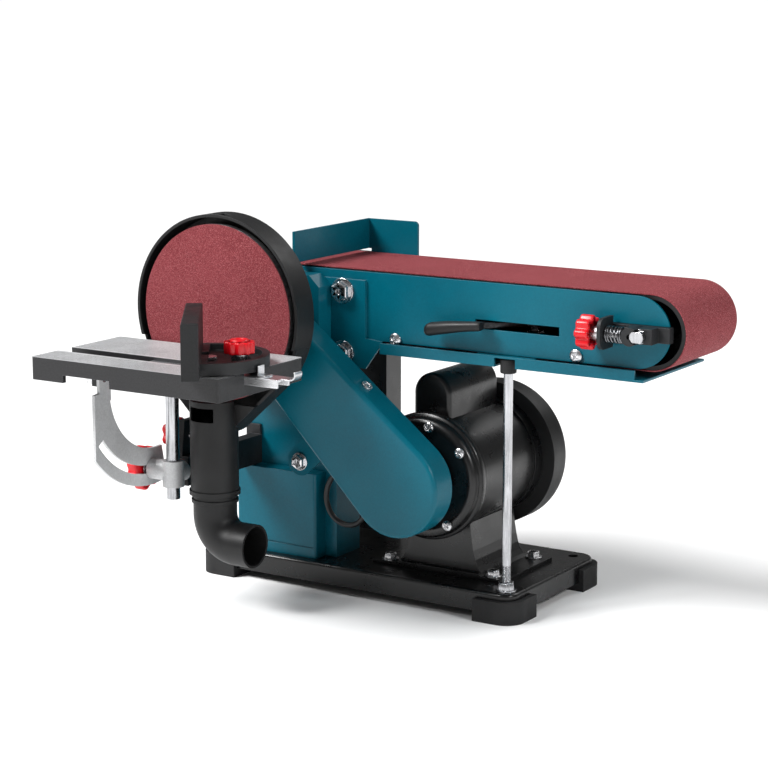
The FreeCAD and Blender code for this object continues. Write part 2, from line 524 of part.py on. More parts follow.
def make_bed():
    far_face = plate_back + side_sheet
    nodes["bed_plate_back"] = side_plate(plate_back, far_face, True)

    plate = prism_y([(drive_x, 292), (drive_x, 231), (-38, 226), (-27, 208), (8.5, 206), (25, 229),
                     (25, 231.5), (8.5, 233), (8.5, 284), (-40, 284)], bracket_front, plate_front - side_sheet)
    ring = bar_y(33, bracket_front, plate_front - side_sheet, drive_x, drive_z)
    low = block(-22, 2, plate_front - side_sheet, plate_front + 4, 209, 228.5)
    near = joined(side_plate(plate_front - side_sheet, plate_front, False), plate, ring, low)
    nodes["bed_plate_front"] = cut(near, bar_y(boss_radius + shaft_gap, -75, -60, drive_x, drive_z),
                                   *[bar_y(4, -75, -55, x, z) for x, z in bed_bolt_places])
    nodes["bed_bolts"] = Part.makeCompound(
        [bolt(V(x, bracket_front, z), Y * -1, 4, 6.5, 15, 6, 11.3, 2) for x, z in bed_bolt_places])

    platen = block(-36, 236, plate_front, plate_back, 289.1, 292.1)
    pin = bar_z(6, 260, 289.1, lever_x, lever_y)
    stud = bar_z(4, 248, 262, lever_x, lever_y)
    head = bar_z(7, 247, 249.5, lever_x, lever_y)
    nodes["platen"] = joined(platen, pin, stud, head)

    sheet = 2.0
    floor = block(tray_left, tray_right, tray_front, tray_back, tray_bottom, tray_bottom + sheet)
    front = block(tray_left, tray_right - 8, tray_front, tray_front + sheet, tray_bottom, 231)
    back = block(tray_left, tray_right - 8, tray_back - sheet, tray_back, tray_bottom, 229)
    tabs = []
    for x, z in tray_screw_places:
        for y0, y1, wall in ((tray_front, plate_front + 1.2, tray_front), (far_face, tray_back, tray_back)):
            tabs.append(block(x - 8, x + 8, y0, y1, tray_bottom, tray_bottom + sheet))
        tabs.append(block(x - 8, x + 8, plate_front, plate_front + 1.2, tray_bottom, z + 6))
        tabs.append(block(x - 8, x + 8, far_face, far_face + 2, tray_bottom, z + 6))
    rest = joined(block(rod_x - 28, rod_x + 28, tray_front, plate_front - side_sheet, 229.3, 231),
                  block(rod_x - 11, rod_x + 11, tray_front, rod_y + 1, 229.3, 231))
    notch = block(rod_x - 9, rod_x + 11, tray_front - 1, rod_y + 9, tray_bottom - 1, 229.3)
    holes = [bar_y(2.5, tray_front - 1, tray_back + 1, x, z) for x, z in tray_screw_places]
    nodes["tray"] = cut(joined(floor, front, back, *tabs), notch, *holes).fuse(rest).removeSplitter()
    screws = []
    for x, z in tray_screw_places:
        screws.append(pan_screw(V(x, plate_front - side_sheet, z), Y * -1, 2.5, 3.3, 5.6, 3))
        screws.append(pan_screw(V(x, far_face + 2, z), Y, 2.5, 5, 5.2, 2.6))

    outer_radius = inner_belt_radius + belt_thick
    outer = egg(drive_x, drive_z, outer_radius + 0.001, idler_x, drive_z, outer_radius, belt_front, belt_back)
    inner = egg(drive_x, drive_z, inner_belt_radius + 0.001, idler_x, drive_z, inner_belt_radius,
                belt_front - 1, belt_back + 1)
    nodes["abrasive_belt"] = outer.cut(inner)

    across = block(fence_x, fence_x + fence_sheet, -82, far_face + fence_sheet, 296, fence_top)
    along = block(fence_x, -5, far_face, far_face + fence_sheet, 262, fence_top)
    corner = [e for e in along.Edges if abs(e.Length - fence_sheet) < 0.01
              and e.CenterOfMass.z > fence_top - 1 and e.CenterOfMass.x > -10]
    fence = joined(across, along.makeFillet(4, corner))
    nodes["work_fence"] = cut(fence, block(fence_x - 1, -55, 30, 60, 250, 295.9),
                              *[bar_y(3, 30, 60, x, z) for x, z in fence_bolts])
    screws += [bolt(V(x, far_face + fence_sheet, z), Y, 3, 4.5, 8, 3) for x, z in fence_bolts]
    nodes["bed_screws"] = Part.makeCompound(screws)


pin_x = 273.3                            # bright pin that the tracking screw pushes on


def make_idler():
    arm_z0, arm_z1 = slot_z0 + 0.2, slot_z1 - 0.2
    front = block(slot_x + 6, 300, -74, -66.5, arm_z0, arm_z1)
    tab = block(246, 249, -96, -72, 248.5, 274.5)
    tab = tab.makeFillet(8, [e for e in tab.Edges if abs(e.Length - 3) < 0.01 and e.CenterOfMass.y < -90])
    back = block(slot_x + 6, 300, 37, 44, arm_z0, arm_z1)
    block_end = bar_y(7.5, -93, -74, pin_x, drive_z)
    joint = block(265.6, 290, -86, -70, arm_z0, arm_z1)
    nodes["idler_arms"] = Part.makeCompound([
        cut(joined(front, tab, block_end, joint), bar_y(6, -100, -60, idler_x, drive_z),
            bar_x(3.05, 240, 265.7, track_y, track_z), bar_y(2.4, -94, -88, pin_x, drive_z)),
        cut(back, bar_y(6, 30, 50, idler_x, drive_z))])
    axle = bar_y(6, -92, 46, idler_x, drive_z)
    flat = joined(block(idler_x - 7, idler_x + 7, -93, -86, drive_z + 4.5, drive_z + 8),
                  block(idler_x - 7, idler_x + 7, -93, -86, drive_z - 8, drive_z - 4.5))
    nodes["idler_axle"] = axle.cut(flat)
    coil = bar_x(7.2, 249, 265.5, track_y, track_z).cut(bar_x(5.4, 240, 270, track_y, track_z))
    nodes["tracking_spring"] = coil
    drum = bar_y(drum_radius, -63.6, 35, idler_x, drive_z)
    hollows = [ring_y(27, 11, y, y + 34, idler_x, drive_z) for y in (-64, 2)]
    nodes["idler_drum"] = cut(drum, bar_y(6 + shaft_gap, -70, 40, idler_x, drive_z), *hollows)
    knob = lobed_knob(V(224, track_y, track_z), X, 14.3, 14, 8, 4)
    neck = bar_x(6, 238, 245.8, track_y, track_z)
    screw = bar_x(3, 245.8, 264, track_y, track_z)
    nodes["tracking_knob"] = joined(knob, neck, screw)


def make_lever():
    hub = bar_z(10, 253.2, 257.8, lever_x, lever_y)
    ends = [V(lever_x, lever_y, 253.2), V(119, -80, 253.2)]
    way = (ends[1] - ends[0]).normalize()
    side = V(-way.y, way.x, 0) * 5
    arm = prism([ends[0] + side, ends[1] + side, ends[1] - side, ends[0] - side], V(0, 0, 4.6))
    handle = prism_y([(78, 242), (75.5, 247), (78, 253.5), (100, 257), (131, 260.5), (131, 251.5), (100, 246)], -88, -74)
    handle = handle.makeFillet(3, [e for e in handle.Edges if abs(e.CenterOfMass.y + 81) > 6.5])
    nodes["tension_lever"] = cut(joined(hub, arm, handle), bar_z(4 + shaft_gap, 250, 262, lever_x, lever_y))


# Tilting table

quadrant_x, quadrant_sheet = -145.5, 3.0
quadrant_inner, quadrant_slot0, quadrant_slot1, quadrant_outer = 62.0, 81.2, 88.8, 99.3
stud_z = hinge_z - (quadrant_slot0 + quadrant_slot1) / 2
tab_bolt_y, tab_bolt_z = -243.0, 209.5


def table_sector(radius, x0, x1, low, high):
    """Sector about the table's hinge, angles in degrees from straight down towards the front."""
    disc = Part.makeCylinder(radius, x1 - x0, V(x0, hinge_y, hinge_z), X)
    far = 4 * radius
    steps = [low + (high - low) * k / 6 for k in range(7)]
    fan = [(hinge_y, hinge_z)]
    fan += [(hinge_y - far * math.sin(math.radians(a)), hinge_z - far * math.cos(math.radians(a))) for a in steps]
    return disc.common(prism_x(fan, x0, x1))


def make_table():
    top = block(table_left, table_right, table_front, table_back, table_top - skirt_depth, table_top)
    upright = [e for e in top.Edges if abs(e.Length - skirt_depth) < 0.01]
    top = top.makeFillet(3, upright)
    wall = 4.0
    under = table_top - table_thick
    hollow = block(table_left + wall, table_right - wall, table_front + wall, table_back - wall, 200, under)
    back_cut = block(table_left + wall, table_right - wall, table_back - wall - 1, table_back + 1, 200, 224.5)
    channel = block(table_left, table_right, slot_front - 2.5, slot_back + 2.5, slot_floor - 2.5, under)
    slot = block(table_left - 1, table_right + 1, slot_front, slot_back, slot_floor, table_top + 1)
    notch = block(-148, -99, table_front - 1, table_front + wall + 1, 200, table_top - skirt_depth + 6.5)
    ears = [joined(block(x, x + 4, hinge_y - 6, hinge_y + 6, hinge_z, under),
                   bar_x(6, x, x + 4, hinge_y, hinge_z)) for x in (post_x - 12, post_x + 8)]
    lug = block(quadrant_x - 6, quadrant_x, tab_bolt_y - 6, tab_bolt_y + 6, 203.5, under)
    table = joined(cut(top, hollow, back_cut, notch), channel, *ears, lug)
    grooves = []
    pitch = 3.6
    y = table_front + 3
    while y < table_back - 2:
        if y < slot_front - 3 or y > slot_back + 2:
            grooves.append(block(table_left - 1, table_right + 1, y, y + 1.0, table_top - 0.7, table_top + 1))
        y += pitch
    pin_hole = bar_x(3, post_x - 20, post_x + 20, hinge_y, hinge_z)
    bolt_hole = bar_x(3, quadrant_x - 7, quadrant_x + 1, tab_bolt_y, tab_bolt_z)
    nodes["table"] = table.cut(Part.makeCompound(grooves)).cut(slot).cut(pin_hole).cut(bolt_hole)
    hinge_pin = joined(bar_x(3, post_x - 14, post_x + 14, hinge_y, hinge_z),
                       bar_x(5, post_x - 15.5, post_x - 12, hinge_y, hinge_z))

    x0, x1 = quadrant_x, quadrant_x + quadrant_sheet
    sector = table_sector(quadrant_outer, x0, x1, -12, 84)
    sector = sector.cut(bar_x(quadrant_inner, x0 - 1, x1 + 1, hinge_y + 6, hinge_z - 5))
    slot = table_sector(quadrant_slot1, x0 - 1, x1 + 1, -6, 54)
    slot = slot.cut(bar_x(quadrant_slot0, x0 - 2, x1 + 2, hinge_y, hinge_z))
    front = block(x0 - 1, x1 + 1, -400, -256.5, 0, 400)
    tab = block(x0, x1, tab_bolt_y - 7, tab_bolt_y + 8, 190, 214)
    cap = block(x0 - 1, x1 + 1, tab_bolt_y + 8, -100, 197, 300)
    nodes["quadrant"] = cut(joined(sector.cut(front), tab), slot, cap, bar_x(3, x0 - 1, x1 + 1, tab_bolt_y, tab_bolt_z))
    tab_bolt = bolt(V(x0 - 6, tab_bolt_y, tab_bolt_z), X * -1, 3, 9, 10, 5.5, 6, 2)
    nodes["table_pins"] = Part.makeCompound([hinge_pin, tab_bolt])

    post = bar_z(post_radius, 96, hinge_z - 8, post_x, hinge_y)
    eye = joined(bar_x(4.9, post_x - 5, post_x + 5, hinge_y, hinge_z),
                 block(post_x - 5, post_x + 5, hinge_y - 4, hinge_y + 4, hinge_z - 10, hinge_z))
    nodes["table_post"] = joined(post, eye).cut(bar_x(3 + shaft_gap, post_x - 9, post_x + 9, hinge_y, hinge_z))
    clamp = joined(bar_z(9.5, 107, 130, post_x, hinge_y),
                   bar_x(9, -142.2, post_x, hinge_y, stud_z), bar_y(9, hinge_y, -168, post_x, 118.5))
    nodes["post_clamp"] = cut(clamp, bar_z(post_radius, 100, 140, post_x, hinge_y),
                              bar_x(3 + shaft_gap, -150, post_x - 7, hinge_y, stud_z))
    arm = block(post_x - 6, post_x + 6, -168, column_face - 2.5, 105, 131)
    flange = block(-130, -115, column_face - 2.5, column_face, 104.5, 140)
    ear = prism_x([(-168, 131), (-140, 131), (-146, 162), (-164, 162)], post_x - 6, post_x)
    hole = bar_x(3 + shaft_gap, post_x - 10, post_x + 4, -155, 148)
    nodes["table_arm"] = cut(joined(arm, flange, ear), hole)

    knob = lobed_knob(V(-158.5, hinge_y, stud_z), X, 20, 12, 7, 5)
    nodes["quadrant_knob"] = joined(knob, bar_x(3, -147, -131, hinge_y, stud_z))
    knob = lobed_knob(V(-142.2, -155, 148), X, 15, 9, 7, 4)
    nodes["arm_knob"] = joined(knob, bar_x(5, -134, post_x - 6.3, -155, 148), bar_x(3, -132, post_x + 3, -155, 148))


# Mitre gauge

bar_gap = 0.1
fence_turn = 35.0                        # how far the mitre fence is turned from square at rest
lock_radius = 31.0


def make_mitre():
    y0, y1 = slot_front + bar_gap, slot_back - bar_gap
    z0, z1 = slot_floor + 0.2, 229.3
    rail = cut(block(-95, 44, y0, y1, z0, z1), block(-96, 45, y0 + 2, y1 - 2, z0 - 1, z1 - 2))
    tongue = block(44, 52, y0 + 6, y1, z1 - 1.2, z1)
    hook = ring_y(5.2, 4.0, y0 + 8, y1, 51, z1 + 4).common(block(51, 60, y0, y1, z1 - 2, z1 + 6))
    pivot = bar_z(4, z1 - 2, 238.5, pivot_x, pivot_y)
    disc = bar_z(7, 238.5, 240.5, pivot_x, pivot_y)
    foot = block(21.6, 30, pivot_y - 5, pivot_y + 5, z1, z1 + 1.2)
    pointer = block(21.6, 22.8, pivot_y - 4, pivot_y + 4, z1, 238)
    nodes["mitre_bar"] = cut(joined(rail, tongue, hook, pivot, disc, foot, pointer),
                             bar_z(3 + shaft_gap, z0, z1 + 1, pivot_x + lock_radius, pivot_y))

    low, floor, rim, tall = 233.0, 238.0, 243.0, 279.0
    half = bar_z(50, low, rim, 0, 0).common(block(-6, 60, -60, 60, low, rim))
    recess = bar_z(44, floor, rim + 1, 0, 0).common(block(0, 60, -60, 60, floor, rim + 1))
    fence = block(-19.5, -5.5, -72, 36, low, tall)
    fence = fence.makeFillet(1.5, [e for e in fence.Edges if e.CenterOfMass.z > tall - 0.01])
    bridge = block(-19.5, 0, -50, 36, low, floor)
    slot = bar_z(lock_radius + 3.8, low - 1, floor + 1, 0, 0).cut(
        bar_z(lock_radius - 3.8, low - 2, floor + 2, 0, 0))
    half_angles = [math.radians(a) for a in (-66, -30, 0, 30, 66)]
    fan = prism([V(0, 0, low - 2)] + [V(90 * math.cos(a), 90 * math.sin(a), low - 2) for a in half_angles],
                V(0, 0, 12))
    head = cut(joined(half, fence, bridge), recess, slot.common(fan), bar_z(4 + shaft_gap, low - 1, rim, 0, 0),
               bar_z(7.3, floor, rim + 1, 0, 0))
    head.rotate(V(0, 0, 0), Z, fence_turn)
    head.translate(V(pivot_x, pivot_y, 0))
    nodes["mitre_head"] = head

    knob_x = pivot_x + lock_radius
    knob = lobed_knob(V(knob_x, pivot_y, 246), Z, 13, 11.5, 10, 3)
    nodes["mitre_knob"] = joined(knob, bar_z(7, 238.4, 246, knob_x, pivot_y),
                                 bar_z(3, 226, 238.4, knob_x, pivot_y))


def centred():
    """Moves every piece so that the origin is under the middle of the whole machine."""
    box = Part.makeCompound(list(nodes.values())).BoundBox
    shift = V(-(box.XMin + box.XMax) / 2, -(box.YMin + box.YMax) / 2, 0)
    for shape in nodes.values():
        shape.translate(shift)
    return shift


make_base()
make_frame()
make_drive()
make_cover()
make_guard()
make_switch()
make_motor()
make_capacitor()
make_lead()
make_rod()
make_bed()
make_idler()
make_lever()
make_table()
make_mitre()
shift = centred()
print("shift from the base's centre to the origin: %.3f %.3f" % (shift.x, shift.y))

os.makedirs("parts", exist_ok=True)
for name, shape in nodes.items():
    shape.exportStep("parts/%s.step" % name)
print(len(nodes), "nodes written")
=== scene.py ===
import math
import json

import bpy
import numpy as np
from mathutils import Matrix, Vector


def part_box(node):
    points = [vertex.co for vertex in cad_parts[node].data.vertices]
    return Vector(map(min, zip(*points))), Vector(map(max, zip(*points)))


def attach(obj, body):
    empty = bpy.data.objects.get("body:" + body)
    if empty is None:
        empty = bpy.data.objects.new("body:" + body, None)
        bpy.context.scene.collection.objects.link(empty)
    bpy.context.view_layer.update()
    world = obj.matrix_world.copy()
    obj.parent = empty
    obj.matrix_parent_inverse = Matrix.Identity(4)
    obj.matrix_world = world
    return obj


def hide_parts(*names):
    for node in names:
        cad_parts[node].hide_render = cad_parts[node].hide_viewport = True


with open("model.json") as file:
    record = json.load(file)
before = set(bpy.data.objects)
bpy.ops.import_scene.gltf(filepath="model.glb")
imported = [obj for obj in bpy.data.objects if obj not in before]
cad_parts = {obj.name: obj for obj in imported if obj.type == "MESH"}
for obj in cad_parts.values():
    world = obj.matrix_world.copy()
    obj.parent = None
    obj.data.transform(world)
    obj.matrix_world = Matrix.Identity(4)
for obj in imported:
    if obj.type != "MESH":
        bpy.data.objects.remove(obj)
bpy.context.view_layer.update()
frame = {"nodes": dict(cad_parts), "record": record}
nodes = frame["nodes"]
print("frame loaded:", len(nodes), "nodes")

mm = 0.001


# Shader maths: a Signal is one output socket of a material's node tree

class Signal:
    def __init__(self, tree, socket=None):
        self.tree = tree
        self.socket = socket

    def add(self, kind, settings=None, inputs=None, output=0):
        # any node: its type, its settings, then values or links of its sockets by name or number
        node = self.tree.nodes.new(kind)
        for key, value in (settings or {}).items():
            if key == "stops":
                fillRamp(node.color_ramp, value)
            else:
                setattr(node, key, value)
        for key, value in (inputs or {}).items():
            if isinstance(value, Signal):
                self.tree.links.new(value.socket, node.inputs[key])
            else:
                node.inputs[key].default_value = value
        return Signal(self.tree, node.outputs[output])

    def math(self, operation, *values):
        return self.add("ShaderNodeMath", {"operation": operation}, dict(enumerate(values)))

    def __add__(self, other):
        return self.math("ADD", self, other)

    def __sub__(self, other):
        return self.math("SUBTRACT", self, other)

    def __rsub__(self, other):
        return self.math("SUBTRACT", other, self)

    def __mul__(self, other):
        return self.math("MULTIPLY", self, other)

    def __rmul__(self, other):
        return self.math("MULTIPLY", other, self)

    def __gt__(self, other):
        return self.math("GREATER_THAN", self, other)

    def limited(self, low, high, newLow=0.0, newHigh=1.0):
        # straight ramp from low to high, held at its ends
        settings = {"clamp": True, "interpolation_type": "SMOOTHSTEP"}
        return self.add("ShaderNodeMapRange", settings, {0: self, 1: low, 2: high, 3: newLow, 4: newHigh})

    def mixed(self, first, second):
        # self is the share of the second colour
        return self.add("ShaderNodeMix", {"data_type": "RGBA"}, {0: self, 6: first, 7: second}, 2)

    def noise(self, place, scale, detail=3.0, roughness=0.5):
        values = {"Vector": place, "Scale": scale, "Detail": detail, "Roughness": roughness}
        return self.add("ShaderNodeTexNoise", None, values)

    def stretched(self, place, factors):
        return self.add("ShaderNodeVectorMath", {"operation": "MULTIPLY"}, {0: place, 1: factors})


def fillRamp(ramp, stops):
    while len(ramp.elements) > 1:
        ramp.elements.remove(ramp.elements[-1])
    ramp.elements[0].position, ramp.elements[0].color = stops[0]
    for position, colour in stops[1:]:
        ramp.elements.new(position).color = colour


def rgb(red, green, blue):
    # display values 0-255 to linear light
    shares = [c / 255 for c in (red, green, blue)]
    linear = [s / 12.92 if s <= 0.0404 else ((s + 0.055) / 1.055) ** 2.4 for s in shares]
    return (*linear, 1.0)


def newMaterial(name, constants):
    # a Principled material with its constants on its own sockets, and the start of its node maths
    material = bpy.data.materials.new(name)
    material.use_nodes = True
    tree = material.node_tree
    shader = next(n for n in tree.nodes if n.type == "BSDF_PRINCIPLED")
    for key, value in constants.items():
        shader.inputs[key].default_value = value
    return material, Signal(tree), shader


def connect(start, shader, links):
    for key, signal in links.items():
        start.tree.links.new(signal.socket, shader.inputs[key])


def edgeWear(start, radius):
    # 1 where the rounded normal leaves the flat one, which is along edges
    bevel = start.add("ShaderNodeBevel", {"samples": 4}, {"Radius": radius})
    flat = start.add("ShaderNodeNewGeometry", output=1)
    dot = start.add("ShaderNodeVectorMath", {"operation": "DOT_PRODUCT"}, {0: bevel, 1: flat}, 1)
    return bevel, (1.0 - dot)


# Paint or moulded plastic: soft colour drift, fine orange peel or grain, edges rubbed a little lighter
def coatedFinish(name, look):
    material, start, shader = newMaterial(name, look.get("shader", {}))
    place = start.add("ShaderNodeTexCoord", output=3)
    drift = start.noise(place, look.get("driftScale", 9.0), 3.0).limited(0.3, 0.7)
    grain = start.noise(place, look["grainScale"], 2.0, 0.55)
    patches = start.noise(place, look.get("patchScale", 45.0), 4.0, 0.6)
    bevel, edge = edgeWear(start, look.get("edgeRadius", 0.0006))
    colour = drift.mixed(look["colour"], look["second"])
    speck = grain.limited(0.25, 0.75)
    colour = (speck * look.get("speckle", 0.15)).mixed(colour, look.get("speckColour", look["second"]))
    rub = edge.limited(0.02, 0.25) * patches.limited(0.35, 0.65) * look.get("edgeShare", 0.35)
    colour = rub.mixed(colour, look["edgeColour"])
    rough = patches.limited(0.3, 0.7, look["rough"] - look["roughSpan"], look["rough"] + look["roughSpan"])
    height = grain + patches * 0.5
    values = {"Strength": look.get("bumpStrength", 0.25), "Distance": look["bumpDepth"], "Height": height,
              "Normal": bevel}
    normal = start.add("ShaderNodeBump", None, values)
    connect(start, shader, {"Base Color": colour, "Roughness": rough, "Normal": normal})
    return material


# Bare metal: scratches drawn out along one axis, cloudy patches, brighter edges
def metalFinish(name, look):
    material, start, shader = newMaterial(name, look.get("shader", {}))
    place = start.add("ShaderNodeTexCoord", output=3)
    drawn = start.stretched(place, look["stretch"])
    scratch = start.noise(drawn, look["scratchScale"], 4.0, 0.65)
    cloud = start.noise(place, look.get("cloudScale", 30.0), 3.0, 0.55)
    bevel, edge = edgeWear(start, look.get("edgeRadius", 0.0005))
    shade = scratch.limited(0.25, 0.75) * 0.6 + cloud.limited(0.3, 0.7) * 0.4
    colour = shade.mixed(look["dark"], look["light"])
    colour = (edge.limited(0.02, 0.25) * look.get("edgeShare", 0.4)).mixed(colour, look["edgeColour"])
    # painted shade: above a given height the colour turns near-black, standing in for the shadow under the
    # belt
    if "paintedShadeAbove" in look:
        height = start.add("ShaderNodeSeparateXYZ", None, {"Vector": place}, 2)
        colour = (height > look["paintedShadeAbove"]).mixed(colour, look["paintedShadeColour"])
    rough = shade.limited(0.0, 1.0, look["rough"] + look["roughSpan"], look["rough"] - look["roughSpan"])
    values = {"Strength": look.get("bumpStrength", 0.3), "Distance": look["bumpDepth"], "Height": scratch,
              "Normal": bevel}
    normal = start.add("ShaderNodeBump", None, values)
    connect(start, shader, {"Base Color": colour, "Roughness": rough, "Normal": normal})
    return material


# Table: machined light top with drawn lines, dark painted sides and underside
def tableFinish(name, look):
    material, start, shader = newMaterial(name, {})
    place = start.add("ShaderNodeTexCoord", output=3)
    facing = start.add("ShaderNodeTexCoord", output=1)
    upward = start.add("ShaderNodeSeparateXYZ", None, {"Vector": facing}, 2)
    height = start.add("ShaderNodeSeparateXYZ", None, {"Vector": place}, 2)
    isTop = upward.limited(0.7, 0.9) * (height > look["topAbove"])
    scratch = start.noise(start.stretched(place, (0.03, 1.0, 1.0)), 1300.0, 4.0, 0.65)
    cloud = start.noise(place, 28.0, 4.0, 0.6)
    cast = start.noise(place, 700.0, 3.0, 0.55)
    bevel, edge = edgeWear(start, 0.0006)
    shade = scratch.limited(0.25, 0.75) * 0.55 + cloud.limited(0.3, 0.7) * 0.45
    bright = shade.mixed(look["topDark"], look["topLight"])
    dark = cast.limited(0.3, 0.7).mixed(look["sideDark"], look["sideLight"])
    dark = (edge.limited(0.02, 0.2) * 0.6).mixed(dark, look["edgeColour"])
    colour = isTop.mixed(dark, bright)
    rough = isTop.limited(0.0, 1.0, 0.48, 0.34) + (shade - 0.5) * -0.12
    relief = scratch * isTop + cast * (1.0 - isTop)
    values = {"Strength": 0.35, "Distance": 0.00012, "Height": relief, "Normal": bevel}
    normal = start.add("ShaderNodeBump", None, values)
    connect(start, shader, {"Base Color": colour, "Metallic": isTop * look["metal"], "Roughness": rough,
                            "Normal": normal})
    return material


# Coated abrasive: grains as small cells, some darker and some with a glint, and faint clouds of worn grit
def gritFinish(name, look):
    material, start, shader = newMaterial(name, look["shader"])
    place = start.add("ShaderNodeTexCoord", output=3)
    spread = {"Vector": place, "Scale": look["grainScale"]}
    cells = start.add("ShaderNodeTexVoronoi", {"feature": "F1"}, spread)
    grain = start.add("ShaderNodeTexVoronoi", {"feature": "F1"}, spread, "Color")
    tone = grain.add("ShaderNodeSeparateColor", None, {"Color": grain})
    fine = start.noise(place, look["fineScale"], 2.0, 0.6)
    cloud = start.noise(place, look["cloudScale"], 4.0, 0.6)
    mixTone = tone * 0.55 + fine.limited(0.3, 0.7) * 0.45
    colour = mixTone.add("ShaderNodeValToRGB", {"stops": look["stops"]}, {"Fac": mixTone})
    colour = (cloud.limited(0.35, 0.75) * look["wornShare"]).mixed(colour, look["wornColour"])
    height = cells.math("MULTIPLY", cells, -1.0) + fine * 0.6
    values = {"Strength": 0.8, "Distance": look["bumpDepth"], "Height": height}
    normal = start.add("ShaderNodeBump", None, values)
    rough = fine.limited(0.2, 0.8, 0.72, 0.95)
    connect(start, shader, {"Base Color": colour, "Roughness": rough, "Normal": normal})
    return material


